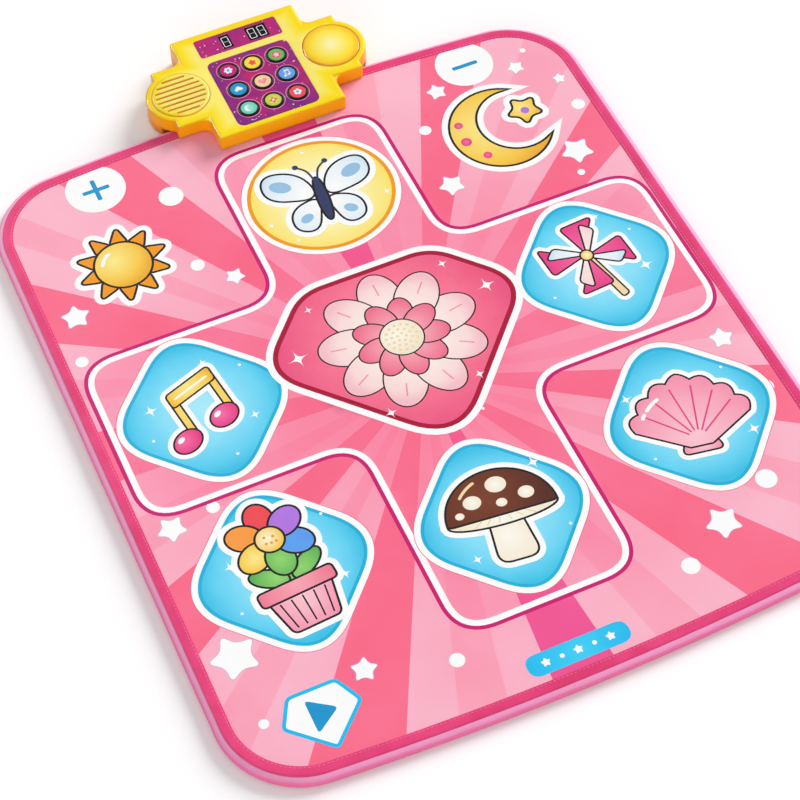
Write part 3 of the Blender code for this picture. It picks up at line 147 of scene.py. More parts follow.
class Finish:
    """A material under construction. Sockets that aren't linked are set on the shader."""

    def __init__(self, name, roughness=0.5, metallic=0.0, **extra):
        self.material = bpy.data.materials.new(name)
        self.material.use_nodes = True
        self.tree = self.material.node_tree
        self.shader = self.tree.nodes["Principled BSDF"]
        self.shader.inputs["Roughness"].default_value = roughness
        self.shader.inputs["Metallic"].default_value = metallic
        for socket, value in extra.items():
            self.shader.inputs[socket.replace("_", " ")].default_value = value
        self.coordinates = self.tree.nodes.new("ShaderNodeTexCoord")

    def node(self, kind, inputs=(), **settings):
        return add_node(self.tree, "ShaderNode" + kind, inputs, **settings)

    def feed(self, socket, value):
        feed(self.tree, socket, value)

    def maths(self, operation, *values):
        return self.node("Math", enumerate(values), operation=operation).outputs[0]

    def place(self, scale=(1, 1, 1), offset=(0, 0, 0)):
        """The object's coordinates, moved and then scaled."""
        vector = self.coordinates.outputs["Object"]
        shifted = self.node("VectorMath", {0: vector, 1: offset}, operation="ADD").outputs[0]
        return self.node("VectorMath", {0: shifted, 1: scale}, operation="MULTIPLY").outputs[0]

    def split(self, vector=None):
        """The x, y and z of a vector, or of the object's coordinates."""
        return self.node("SeparateXYZ", {0: vector or self.coordinates.outputs["Object"]}).outputs

    def length(self, vector):
        return self.node("VectorMath", {0: vector}, operation="LENGTH").outputs["Value"]

    def noise(self, scale, detail=2.0, vector=None, roughness=0.5):
        vector = vector or self.coordinates.outputs["Object"]
        inputs = {"Vector": vector, "Scale": scale, "Detail": detail, "Roughness": roughness}
        return self.node("TexNoise", inputs).outputs["Fac"]

    def ramp(self, factor, stops, kind="LINEAR"):
        """A colour for each value of factor, from (position, colour) stops."""
        made = self.node("ValToRGB", {"Fac": factor})
        made.color_ramp.interpolation = kind
        elements = made.color_ramp.elements
        while len(elements) > 1:
            elements.remove(elements[-1])
        elements[0].position, elements[0].color = stops[0]
        for position, colour in stops[1:]:
            elements.new(position).color = colour
        return made.outputs["Color"]

    def shades(self, factor, stops, kind="LINEAR"):
        """A ramp whose stops are a position and a screen colour each."""
        return self.ramp(factor, [(position, paint(*colour)) for position, colour in stops], kind)

    def tones(self, factor, dark, light):
        """Two screen colours that blend over a noise's usual range."""
        return self.shades(factor, [(0.3, dark), (0.7, light)])

    def mix(self, factor, first, second, blend="MIX"):
        inputs = {"Factor": factor, 6: first, 7: second}
        return self.node("Mix", inputs, data_type="RGBA", blend_type=blend).outputs[2]

    def mottled(self, colour, scale, share):
        """The colour with faint lighter and darker clouds, which leave its average as it is."""
        return self.mix(share, colour, self.noise(scale, 3.0), "SOFT_LIGHT")

    def colour(self, value):
        self.feed(self.shader.inputs["Base Color"], value)

    def clouded(self, scale, detail, dark, light):
        """Two screen colours, blended by a noise."""
        self.colour(self.tones(self.noise(scale, detail), dark, light))

    def drifting(self, value, scale, share):
        """A value with a share of a noise added."""
        return self.maths("ADD", value, self.maths("MULTIPLY", self.noise(scale), share))

    def relief(self, height, distance, strength=1.0):
        """Bump from a height of 0 to 1, distance metres deep, on top of any earlier bump."""
        inputs = {"Height": height, "Distance": distance, "Strength": strength}
        made = self.node("Bump", inputs)
        earlier = self.shader.inputs["Normal"].links
        if earlier:
            self.tree.links.new(earlier[0].from_socket, made.inputs["Normal"])
        self.tree.links.new(made.outputs["Normal"], self.shader.inputs["Normal"])

    def weave(self, pitch, depth):
        """Two crossed sets of threads, as the relief of a woven cloth."""
        turns = 2 * math.pi / pitch
        parts = self.split()
        across = self.maths("SINE", self.maths("MULTIPLY", parts[0], turns))
        along = self.maths("SINE", self.maths("MULTIPLY", parts[1], turns))
        both = self.maths("MULTIPLY", across, along)
        self.relief(self.maths("MULTIPLY_ADD", both, 0.5, 0.5), depth)


print("finish builder ready")

# %% [markdown]
# ## Ground and light
# The mat is shown on white, with a broad shadow on its left side. A wide light comes from the
# right, and a white world fills the rest, at a level where a colour renders as it is written. A
# low light from the front keeps the side walls bright without filling the shadow on the ground,
# and a card far on the left shows in the console's glossy rims.

# %% Ground
FLOOR_HALF = 40.0
FLOOR_DROP = 0.0003  # the floor lies just under the cloth, so that the two don't flicker
FLOOR_GLOW = 0.13  # lifts the lit floor to white where it is seen

floor_mesh = bpy.data.meshes.new("floor")
signs = [(-1, -1), (1, -1), (1, 1), (-1, 1)]
corners = [(x * FLOOR_HALF, y * FLOOR_HALF, -FLOOR_DROP) for x, y in signs]
floor_mesh.from_pydata(corners, [], [(0, 1, 2, 3)])
floor = bpy.data.objects.new("floor", floor_mesh)
bpy.context.scene.collection.objects.link(floor)
ground = Finish("ground", roughness=0.9)
ground.colour(paint(248, 246, 247))
ground.shader.inputs["Specular IOR Level"].default_value = 0.0
rays = ground.node("LightPath")
seen = ground.maths("MAXIMUM", rays.outputs["Is Camera Ray"], rays.outputs["Is Glossy Ray"])
seen = ground.maths("MAXIMUM", seen, rays.outputs["Is Transmission Ray"])
ground.feed(ground.shader.inputs["Emission Color"], (1, 1, 1, 1))
ground.feed(ground.shader.inputs["Emission Strength"], ground.maths("MULTIPLY", seen, FLOOR_GLOW))
floor_mesh.materials.append(ground.material)

# %% Lamps and world
scene = bpy.context.scene
scene.view_settings.view_transform = "Standard"
world = bpy.data.worlds.new("studio")
world.use_nodes = True
scene.world = world
sky = world.node_tree.nodes["Background"]
sky.inputs["Color"].default_value = (1.0, 1.0, 1.0, 1.0)
SKY_LIGHT = 0.45  # what it gives as light; seen directly or in a gloss, it is white
paths = world.node_tree.nodes.new("ShaderNodeLightPath").outputs
strength = paths["Is Camera Ray"]
for other in (paths["Is Glossy Ray"], paths["Is Transmission Ray"], SKY_LIGHT):
    inputs = {0: strength, 1: other}
    strength = add_node(world.node_tree, "ShaderNodeMath", inputs, operation="MAXIMUM").outputs[0]
world.node_tree.links.new(strength, sky.inputs["Strength"])


def lamp(name, kind, place, **settings):
    """A lamp at place that points at the origin."""
    data = bpy.data.lights.new(name, kind)
    for setting, value in settings.items():
        setattr(data, setting, value)
    obj = bpy.data.objects.new(name, data)
    obj.location = place
    obj.rotation_euler = (-Vector(place)).to_track_quat("-Z", "Y").to_euler()
    scene.collection.objects.link(obj)
    return obj


lamp("broad_right", "SUN", (3.0, 1.3, 1.7), energy=2.96, angle=math.radians(30))
lamp("front_low", "SUN", (-1.6, -2.6, 0.5), energy=1.2, angle=math.radians(50))
card = lamp(
    "left_card", "AREA", (-1.5, 2.0, 1.3), energy=150.0, shape="RECTANGLE", size=1.4, size_y=1.0
)
card.visible_diffuse = False  # like a white card, it shows in glossy rims and lights nothing else

# %% [markdown]
# ## The mat's outline
# Nearly every soft piece follows one line: the seam where the printed cover meets the side wall.
# It is a rectangle with round corners whose near and far edges bow out a little. The same values
# as in the solids give it here, with more points, so that close views stay smooth.

# %% Sizes of the mat, in metres
MAT_WIDTH = 0.800
MAT_LENGTH = 0.910
MAT_BOW = 0.0204
MAT_CORNER_RADIUS = 0.088
WALL_BULGE = 0.0056
KEYPAD_OFFSET = 0.0235  # from the keypad label's middle back to the console's
MAT_NEAR_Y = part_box("top_cover")[0].y + MAT_BOW  # the line through the near corners
CONSOLE_Y = sum(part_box("keypad_label")[i].y for i in (0, 1)) / 2 + KEYPAD_OFFSET
print("near edge at y", round(MAT_NEAR_Y, 4), "console centre at y", round(CONSOLE_Y, 4))


# %% Outline helpers
def arc(x, y, radius, start, end, steps):
    """Points on an arc, angles in degrees, both ends included."""
    turn = [math.radians(start + (end - start) * i / steps) for i in range(steps + 1)]
    return [(x + radius * math.cos(a), y + radius * math.sin(a)) for a in turn]


def drawn_in(points, inset):
    """A closed outline, running anticlockwise, moved in by inset along each point's bisector."""
    made = []
    for i, (x, y) in enumerate(points):
        before, after = points[i - 1], points[(i + 1) % len(points)]
        along = math.atan2(y - before[1], x - before[0])
        turn = math.remainder(math.atan2(after[1] - y, after[0] - x) - along, 2 * math.pi)
        inward = along + turn / 2 + math.pi / 2
        reach = inset / max(math.cos(turn / 2), 0.35)
        made.append((x + reach * math.cos(inward), y + reach * math.sin(inward)))
    return made


def mat_outline(inset=0.0, corner_steps=24, edge_steps=60):
    """The seam's line in the row frame, drawn in by inset."""
    half_width, half_length = MAT_WIDTH / 2, MAT_LENGTH / 2
    straight_x = half_width - MAT_CORNER_RADIUS
    straight_y = half_length - MAT_CORNER_RADIUS
    points = []
    for side_x, side_y, start in ((1, -1, -90), (1, 1, 0), (-1, 1, 90), (-1, -1, 180)):
        corner = (side_x * straight_x, side_y * straight_y)
        points += arc(*corner, MAT_CORNER_RADIUS, start, start + 90, corner_steps)
        for i in range(1, edge_steps):
            share = 1 - 2 * i / edge_steps
            if side_x == side_y:
                points.append((corner[0] * share, side_y * half_length))
            else:
                points.append((side_x * half_width, corner[1] * share))
    bowed = []
    for x, y in points:
        bow = MAT_BOW * (1 - (x / half_width) ** 2) * y / half_length
        bowed.append((x, MAT_NEAR_Y + half_length + y + bow))
    return drawn_in(bowed, inset)


def mat_drawing(inset, corner_steps=12, edge_steps=24):
    """The seam's line drawn in by inset, in millimetres from the middle of the near edge."""
    line = mat_outline(inset, corner_steps, edge_steps)
    return [(x * 1000, (y - MAT_NEAR_Y) * 1000) for x, y in line]


def length_round(points):
    return sum(math.dist(points[i - 1], points[i]) for i in range(len(points)))


def area_inside(points):
    pairs = zip(points, points[1:] + points[:1])
    return abs(sum(a[0] * b[1] - b[0] * a[1] for a, b in pairs)) / 2


SEAM = mat_outline()
COVER_INSET = 0.0035  # the print ends under the tape
COVER_AREA = area_inside(mat_outline(COVER_INSET))
print("seam:", round(length_round(SEAM), 3), "m round,", round(COVER_AREA, 4), "square metres")


# %% Mesh helpers
def add_piece(mesh, body=ROOT):
    """A finished piece in the scene, riding on its body. It takes its mesh's name."""
    obj = bpy.data.objects.new(mesh.name, mesh)
    scene.collection.objects.link(obj)
    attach(obj, body)
    return obj


def lofted(name, rings):
    """A mesh through rings of points. Each ring is a closed section, and the rings form a loop."""
    mesh = bpy.data.meshes.new(name)
    count = len(rings[0])
    faces = []
    for i in range(len(rings)):
        j = (i + 1) % len(rings)
        for k in range(count):
            m = (k + 1) % count
            faces.append((i * count + k, j * count + k, j * count + m, i * count + m))
    mesh.from_pydata([p for ring in rings for p in ring], [], faces)
    whole = bmesh.new()
    whole.from_mesh(mesh)
    bmesh.ops.recalc_face_normals(whole, faces=whole.faces)
    whole.to_mesh(mesh)
    whole.free()
    mesh.shade_smooth()
    return mesh


def lathed(name, profile, steps):
    """A closed turned solid about Z from (radius, z) points, top to bottom down its outer side."""
    mesh = bpy.data.meshes.new(name)
    shape = bmesh.new()
    corner = [shape.verts.new((r, 0, z)) for r, z in profile]
    if profile[0][0] > 0 and profile[-1][0] > 0:
        corner.append(corner[0])
    edges = [shape.edges.new((a, b)) for a, b in zip(corner, corner[1:])]
    bmesh.ops.spin(
        shape, geom=shape.verts[:] + edges, axis=(0, 0, 1), angle=2 * math.pi, steps=steps,
        use_merge=True,
    )
    bmesh.ops.remove_doubles(shape, verts=shape.verts, dist=1e-6)
    bmesh.ops.recalc_face_normals(shape, faces=shape.faces)
    shape.to_mesh(mesh)
    shape.free()
    mesh.shade_smooth()
    mesh.set_sharp_from_angle(angle=math.radians(40))
    return mesh


def turned_at(name, profile, steps, place, material):
    """A turned solid in one material, with its axis at place."""
    mesh = lathed(name, profile, steps)
    mesh.transform(Matrix.Translation((*place, 0)))
    mesh.materials.append(material)
    return mesh


def thickened(piece, depth):
    """Give a flat piece some depth below its face, in metres."""
    solid = piece.modifiers.new("thickness", "SOLIDIFY")
    solid.thickness = depth
    solid.offset = -1.0


print("helpers ready")

# %% [markdown]
# ## Shapes for the print
# The cover is printed with flat motifs, as on a sticker sheet. Each is built from a few closed
# outlines in millimetres, with its own middle at 0, 0, and then moved to its place on the mat.


# %% Basic outlines, in millimetres
def ellipse(x, y, radius_x, radius_y, turn=0.0, steps=40):
    ring = [(radius_x * math.cos(a), radius_y * math.sin(a)) for a in
            (2 * math.pi * i / steps for i in range(steps))]
    return moved(ring, x, y, turn)


def moved(points, x=0.0, y=0.0, turn=0.0, size=1.0):
    c, s = math.cos(math.radians(turn)) * size, math.sin(math.radians(turn)) * size
    return [(x + c * px - s * py, y + s * px + c * py) for px, py in points]


def rounded(points, reach, steps=8):
    """A polygon whose corners are curved over a length of reach, or one reach for each corner."""
    made = []
    lengths = reach if isinstance(reach, tuple) else (reach,) * len(points)
    for i, corner in enumerate(points):
        reach, ends = lengths[i], []
        for other in (points[i - 1], points[(i + 1) % len(points)]):
            side = math.dist(corner, other)
            share = min(reach / side, 0.499)
            ends.append([c + (o - c) * share for c, o in zip(corner, other)])
        for k in range(steps + 1):
            t = k / steps
            weights = ((1 - t) ** 2, 2 * t * (1 - t), t * t)
            made.append(tuple(
                sum(w * p[axis] for w, p in zip(weights, (ends[0], corner, ends[1])))
                for axis in (0, 1)
            ))
    return made


def star(x, y, radius, turn=0.0, waist=0.52, soft=0.28, tips=5):
    points = []
    for i in range(2 * tips):
        angle = math.pi / 2 + math.pi * i / tips
        reach = radius * (waist if i % 2 else 1.0)
        points.append((reach * math.cos(angle), reach * math.sin(angle)))
    return moved(rounded(points, radius * soft, 5), x, y, turn)


def sparkle(x, y, radius, turn=0.0, steps=32):
    """A four-pointed glint with hollow sides."""
    angles = [2 * math.pi * i / steps for i in range(steps)]
    points = [(1.35 * radius * math.cos(a) ** 5, 1.35 * radius * math.sin(a) ** 5) for a in angles]
    return moved(points, x, y, turn)


def heart(x, y, size, turn=0.0, steps=36):
    points = []
    for i in range(steps):
        t = 2 * math.pi * i / steps
        across = 16 * math.sin(t) ** 3
        up = 13 * math.cos(t) - 5 * math.cos(2 * t) - 2 * math.cos(3 * t) - math.cos(4 * t)
        points.append((-across * size / 17, up * size / 17))
    return moved(points, x, y, turn)


def cluster(circles, steps=90):
    """The outline round several overlapping circles, as seen from 0, 0."""
    points = []
    for i in range(steps):
        angle = 2 * math.pi * i / steps
        c, s = math.cos(angle), math.sin(angle)
        reach = 0.0
        for x, y, radius in circles:
            along, aside = x * c + y * s, x * s - y * c
            if abs(aside) < radius:
                reach = max(reach, along + math.sqrt(radius * radius - aside * aside))
        points.append((reach * c, reach * s))
    return points


def stroke(points, width, steps=5):
    """A pen line of the given width along open points, with round ends."""
    sides = ([], [])
    last = len(points) - 1
    for i, (x, y) in enumerate(points):
        before, after = points[max(i - 1, 0)], points[min(i + 1, last)]
        angle = math.atan2(after[1] - before[1], after[0] - before[0])
        nx, ny = -math.sin(angle) * width / 2, math.cos(angle) * width / 2
        sides[0].append((x - nx, y - ny))
        sides[1].append((x + nx, y + ny))
    first, final = (
        math.degrees(math.atan2(b[1] - a[1], b[0] - a[0]))
        for a, b in ((points[0], points[1]), (points[-2], points[-1]))
    )
    far_cap = arc(*points[-1], width / 2, final - 90, final + 90, steps)[1:-1]
    near_cap = arc(*points[0], width / 2, first + 90, first + 270, steps)[1:-1]
    return sides[0] + far_cap + sides[1][::-1] + near_cap


def curve_through(points, steps=6):
    """A smooth open line through a few points."""
    made = []
    padded = [points[0], *points, points[-1]]
    for a, b, c, d in zip(padded, padded[1:], padded[2:], padded[3:]):
        for k in range(steps):
            t = k / steps
            made.append(tuple(
                0.5 * (2 * q + (r - p) * t + (2 * p - 5 * q + 4 * r - s) * t * t
                       + (3 * q - p - 3 * r + s) * t ** 3)
                for p, q, r, s in zip(a, b, c, d)
            ))
    return made + [points[-1]]


def box_outline(left, low, right, high, soft=0.0):
    corners = [(left, low), (right, low), (right, high), (left, high)]
    return rounded(corners, soft, 5) if soft else corners


def plan_box(node, origin_y, grow=0.0):
    """Left, low, right and high of a solid seen from above, in millimetres, grown all round."""
    low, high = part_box(node)
    return (
        low.x * 1000 - grow, (low.y - origin_y) * 1000 - grow,
        high.x * 1000 + grow, (high.y - origin_y) * 1000 + grow,
    )


print("a star has", len(star(0, 0, 10)), "points")

# %% [markdown]
# ## Laying the print down as one sheet
# Layers of stickers would leave edges that catch the light and faces that hide each other. A
# constrained triangulation does better: it cuts the plane along every outline at once, and says
# which outlines each small face lies in. The last one wins, as ink does on ink, so the whole
# print is one flat sheet with a material for each ink.

# %% Inks and the sheet
LINE = 2.2  # width of the dark pen line round a motif, in millimetres
STICKER = 5.5  # width of the white rim round a motif
CUT_TOLERANCE = 1e-4  # points nearer than this are one
INKS = {}


def shape(outline, ink, centre=None, radius=1.0):
    """One printed area. Its ink shades from centre outwards, over radius."""
    return (outline, ink, centre or (0.0, 0.0), radius)


def placed(shapes, x, y, turn=0.0, size=1.0):
    made = []
    for outline, ink, centre, radius in shapes:
        middle = moved([centre], x, y, turn, size)[0]
        made.append((moved(outline, x, y, turn, size), ink, middle, radius * size))
    return made


def inked(parts, rim=STICKER, line=LINE):
    """Parts with a dark line round each, all on a shared white rim."""
    made = [shape(drawn_in(p[0], -rim - line), "white") for p in parts] if rim else []
    for part in parts:
        made.append(shape(drawn_in(part[0], -line), "pen"))
        made.append(part)
    return made


def printed(name, shapes, to_metres, grid=()):
    """A flat mesh of all the shapes, in drawing units, cut where their outlines cross."""
    points, faces = [], []
    for outline, _ink, _centre, _radius in shapes:
        faces.append(list(range(len(points), len(points) + len(outline))))
        points += [Vector(p) for p in outline]
    points += [Vector(p) for p in grid]
    flat = delaunay_2d_cdt(points, [], faces, 1, CUT_TOLERANCE, True)
    inks = sorted({s[1] for s in shapes if s[1]})
    kept, layers = [], []
    for triangle, owners in zip(flat[2], flat[5]):
        top = shapes[max(owners)] if owners else None
        if top and top[1]:
            kept.append(tuple(triangle))
            layers.append(top)
    mesh = bpy.data.meshes.new(name)
    mesh.from_pydata([to_metres(*p) for p in flat[0]], [], kept)
    for ink in inks:
        mesh.materials.append(INKS[ink])
    spread = mesh.uv_layers.new(name="ink_spread")
    for face, (_outline, ink, centre, radius) in zip(mesh.polygons, layers):
        face.material_index = inks.index(ink)
        for corner in face.loop_indices:
            x, y = flat[0][mesh.loops[corner].vertex_index]
            spread.data[corner].uv = ((x - centre[0]) / radius, (y - centre[1]) / radius)
    lone = bmesh.new()
    lone.from_mesh(mesh)
    bmesh.ops.delete(lone, geom=[v for v in lone.verts if not v.link_faces], context="VERTS")
    if sum(f.normal.z for f in lone.faces) < 0:
        bmesh.ops.reverse_faces(lone, faces=lone.faces)
    lone.to_mesh(mesh)
    lone.free()
    return mesh


def flat_at(origin_y, height):
    """Turns drawing millimetres into a point of a level plane, in metres."""
    return lambda x, y: (x / 1000, origin_y + y / 1000, height)


print("pen line", LINE, "mm, white rim", STICKER, "mm")

# %% [markdown]
# Every ink shades a little from its middle to its edge and shows the cloth's weave. The base has
# rays: the angle round the mat's middle picks the light or the dark pink from a hard-edged ramp.

# %% Ink finishes
WEAVE_PITCH = 0.0011
WEAVE_DEPTH = 0.00003
PRINT_SPECULAR = 0.18


def cloth_ink(name, *stops):
    """An ink on cloth. Each stop is a position from the shape's middle, and a screen colour."""
    finish = Finish("print_" + name, roughness=0.46, Specular_IOR_Level=PRINT_SPECULAR)
    spread = finish.node("UVMap", uv_map="ink_spread").outputs["UV"]
    away = finish.length(spread)
    colour = finish.shades(away, stops) if len(stops) > 1 else paint(*stops[0][1])
    finish.colour(finish.mottled(colour, 38.0, 0.2))
    finish.weave(WEAVE_PITCH, WEAVE_DEPTH)
    INKS[name] = finish.material


RAY_CENTRE_Y = MAT_NEAR_Y + 0.430
FADE_PER_METRE = 2.2  # how fast a ray's near colour gives way to its far one
FAINT_SHARE = 0.28
DARK_RAYS = (
    (-3, 10), (30, 39), (57, 66), (112, 121), (139, 149), (166, 178),
    (200, 211), (232, 243), (295, 306), (325, 337),
)  # from and to, in degrees
HOT_RAYS = ((84, 94), (264, 274))
FAINT_RAYS = (
    (17, 24), (45, 51), (72, 79), (99, 106), (128, 133), (155, 160),
    (186, 193), (218, 225), (249, 257), (281, 288), (312, 318), (344, 351),
)


def ray_mask(finish, turn, rays):
    """White inside the given rays and black between them."""
    black, white = (0, 0, 0, 1), (1, 1, 1, 1)
    edges = [(0.0, white if rays[0][0] < 0 else black)]
    for start, end in rays:
        edges += [(start % 360 / 360, white), (end / 360, black)]
    return finish.ramp(turn, sorted(edges), "CONSTANT")


def ray_ink(name, light, dark, hot):
    """Rays from the mat's middle. light, dark and hot each give a near and a far colour."""
    finish = Finish("print_" + name, roughness=0.46, Specular_IOR_Level=PRINT_SPECULAR)
    around = finish.place(offset=(0, -RAY_CENTRE_Y, 0))
    x, y, _z = finish.split(around)
    angle = finish.maths("ARCTAN2", y, x)
    turn = finish.maths("FRACT", finish.maths("MULTIPLY_ADD", angle, 0.5 / math.pi, 1.0))
    far = finish.maths("MULTIPLY", finish.length(around), FADE_PER_METRE)
    ground_tone, dark_tone, hot_tone = (
        finish.mix(far, paint(*near), paint(*further)) for near, further in (light, dark, hot)
    )
    faint = finish.maths("MULTIPLY", ray_mask(finish, turn, FAINT_RAYS), FAINT_SHARE)
    colour = finish.mix(faint, ground_tone, dark_tone)
    colour = finish.mix(ray_mask(finish, turn, DARK_RAYS), colour, dark_tone)
    colour = finish.mix(ray_mask(finish, turn, HOT_RAYS), colour, hot_tone)
    finish.colour(finish.mottled(colour, 9.0, 0.35))
    finish.weave(WEAVE_PITCH, WEAVE_DEPTH)
    INKS[name] = finish.material


ray_ink(
    "rays", light=((252, 140, 168), (254, 182, 203)), dark=((250, 102, 138), (252, 110, 142)),
    hot=((248, 84, 140), (241, 84, 150)),
)
ray_ink(
    "panel", light=((253, 128, 158), (253, 162, 190)), dark=((251, 108, 142), (252, 122, 156)),
    hot=((248, 88, 140), (240, 84, 148)),
)
for name, *stops in (
    ("white", (0, (255, 255, 255))),
    ("pen", (0, (10, 6, 8))),
    ("lilac", (0, (214, 176, 214))),
    ("magenta", (0, (204, 14, 112))),
    (
        "sky", (0, (172, 237, 255)), (0.5, (136, 225, 251)), (0.8, (100, 212, 245)),
        (1, (58, 194, 232)),
    ),
    ("sky_rim", (0, (24, 178, 220))),
    ("cyan", (0, (20, 188, 240))),
    ("banner", (0, (60, 208, 248)), (1, (26, 188, 240))),
    ("glyph_blue", (0, (16, 148, 204))),
    ("crimson", (0, (170, 0, 52))),
    ("gem", (0, (253, 144, 166)), (0.6, (250, 116, 146)), (1, (236, 84, 130))),
    ("badge", (0, (255, 250, 206)), (0.6, (255, 243, 166)), (1, (254, 228, 104))),
    ("amber", (0, (244, 154, 22))),
    ("gold", (0, (255, 236, 140)), (0.7, (250, 204, 74)), (1, (238, 172, 46))),
    ("rose", (0, (252, 168, 182)), (1, (240, 112, 142))),
    ("blush", (0, (255, 238, 232)), (0.7, (253, 222, 220)), (1, (248, 194, 202))),
    ("petal_pink", (0, (254, 200, 210)), (1, (246, 130, 166))),
    ("hot_pink", (0, (250, 110, 168)), (1, (232, 58, 132))),
    ("cream", (0, (255, 252, 240)), (1, (244, 228, 200))),
    ("sand", (0, (246, 218, 168))),
    ("cocoa", (0, (122, 60, 34)), (1, (82, 32, 18))),
    ("ice", (0, (255, 255, 255)), (0.7, (226, 240, 250)), (1, (184, 216, 238))),
    ("ice_shade", (0, (150, 194, 226))),
    ("navy", (0, (44, 54, 96))),
    ("leaf", (0, (146, 214, 110)), (1, (88, 176, 84))),
    ("violet", (0, (178, 118, 226))),
    ("red", (0, (240, 74, 84))),
    ("orange", (0, (250, 158, 66))),
    ("blue", (0, (92, 160, 240))),
    ("pin", (0, (255, 250, 220)), (1, (250, 206, 80))),
    ("lemon", (0, (255, 240, 96)), (1, (250, 214, 30))),
    ("lime", (0, (224, 232, 110)), (1, (192, 206, 62))),
    ("mint", (0, (168, 232, 210)), (1, (96, 204, 178))),
    ("peach", (0, (253, 228, 190)), (1, (246, 200, 148))),
):
    cloth_ink(name, *stops)
print("inks:", len(INKS))

# %% [markdown]
# ## Motifs
# The pads carry simple pictures: a windmill, a note, a shell, a mushroom, a flower in a pot and a
# big daisy in the middle. Each is a list of outlines from back to front.


# %% Motifs for the pads
def windmill():
    parts = [shape(rounded([(-3, -4), (4, -4), (13, -72), (5, -74)][::-1], 3), "sand")]
    for i in range(4):
        turn = 90 * i + 12
        back = rounded([(2, 0), (26, 26), (44, 40), (4, 50)], 5)
        front = rounded([(0, -2), (34, 24), (26, 40)], 5)
        parts.append(shape(moved(back, turn=turn), "hot_pink", (0, 0), 52))
        parts.append(shape(moved(front, turn=turn), "ice" if i % 2 else "blush", (0, 0), 52))
    parts.append(shape(ellipse(0, 0, 7, 7, steps=24), "pin", (0, 0), 7))
    return inked(parts)


def note():
    stems = [box_outline(-27, -30, -20, 30, 2), box_outline(24, -20, 31, 40, 2)]
    beam = rounded([(-27, 16), (31, 28), (31, 46), (-27, 34)], 4)
    parts = [shape(s, "gold", (0, 0), 60) for s in stems]
    parts.append(shape(beam, "gold", (0, 34), 34))
    for x, y in ((-35, -32), (16, -22)):
        parts.append(shape(ellipse(x, y, 17, 13, 22), "hot_pink", (x - 4, y + 4), 19))
    shine = [shape(ellipse(x, y, 5, 3, 30, 16), "white") for x, y in ((-41, -27), (10, -17))]
    bar = stroke([(-20, 26), (24, 35)], 2.5)
    return inked(parts) + shine + [shape(bar, "white")]


def seashell():
    fan = [(12, -44)]
    lobes, steps = 7, 8
    for i in range(lobes * steps + 1):
        angle = math.radians(20 + 140 * i / (lobes * steps))
        reach = 78 + 7 * abs(math.sin(math.pi * i / steps)) - 12 * abs(math.cos(angle))
        fan.append((reach * math.cos(angle), -36 + reach * math.sin(angle)))
    fan.append((-12, -44))
    foot = rounded([(-22, -52), (22, -52), (15, -34), (-15, -34)], 7)
    parts = [shape(foot, "petal_pink", (0, -44), 26), shape(fan, "petal_pink", (0, -30), 92)]
    made = inked(parts)
    for i in range(1, lobes):
        angle = math.radians(20 + 140 * i / lobes)
        reach = 71 - 12 * abs(math.cos(angle))
        ends = [(r * math.cos(angle), -36 + r * math.sin(angle)) for r in (12, reach)]
        made.append(shape(stroke(ends, 1.9), "hot_pink"))
    glints = [stroke(arc(0, -30, 60, 118, 136, 5), 4), stroke(arc(0, -30, 60, 142, 147, 3), 4)]
    return made + [shape(g, "white") for g in glints]


def mushroom():
    stem = rounded([(-20, -58), (20, -58), (14, 2), (-14, 2)], 12)
    cap = arc(0, -6, 54, 0, 180, 36)
    cap = [(x, -6 + (y + 6) * 0.92) for x, y in cap]
    under = ellipse(0, -6, 54, 11)
    parts = [shape(stem, "cream", (-4, -30), 44), shape(rounded(cap, 6, 3), "cocoa", (-14, 14), 62)]
    parts.insert(1, shape(under, "cream", (0, -6), 60))
    made = inked(parts)
    for x, y, r in ((-24, 14, 9), (4, 27, 10.5), (29, 10, 8), (-40, 3, 4.5), (3, 6, 5.5)):
        made.append(shape(ellipse(x, y, r, r * 0.86, steps=28), "cream", (x, y), r * 1.3))
    for x in (-30, -18, -6, 6, 18, 30):
        made.append(shape(stroke([(x * 0.75, -9), (x, -14)], 1.3), "sand"))
    made.append(shape(stroke(arc(0, -6, 44, 112, 140, 6), 3), "sand"))
    return made


def potted_flower():
    pot = rounded([(-23, -66), (23, -66), (32, -22), (-32, -22)], 5)
    brim = box_outline(-37, -30, 37, -16, 4)
    stem = stroke([(0, -18), (-2, 4), (0, 22)], 6)
    parts = [shape(stem, "leaf", (0, 0), 30)]
    for side in (-1, 1):
        parts.append(shape(ellipse(side * 19, -4, 18, 8.5, side * 30), "leaf", (side * 12, -6), 24))
    parts += [shape(pot, "petal_pink", (0, -36), 46), shape(brim, "rose", (0, -20), 42)]
    hues = ("red", "orange", "gold", "leaf", "blue", "violet")
    for i, hue in enumerate(hues):
        angle = 60 * i + 90
        x, y = 24 * math.cos(math.radians(angle)), 34 + 24 * math.sin(math.radians(angle))
        parts.append(shape(ellipse(x, y, 17, 13, angle), hue, (x, y), 22))
    parts.append(shape(ellipse(0, 34, 13, 13), "pin", (-2, 36), 14))
    made = inked(parts)
    for x in (-18, -9, 0, 9, 18):
        made.append(shape(stroke([(x * 1.25, -34), (x, -62)], 1.6), "pen"))
    for x, y in ((-4, 38), (4, 36), (0, 30), (-5, 31), (5, 30)):
        made.append(shape(ellipse(x, y, 1.5, 1.5, steps=10), "amber"))
    return made


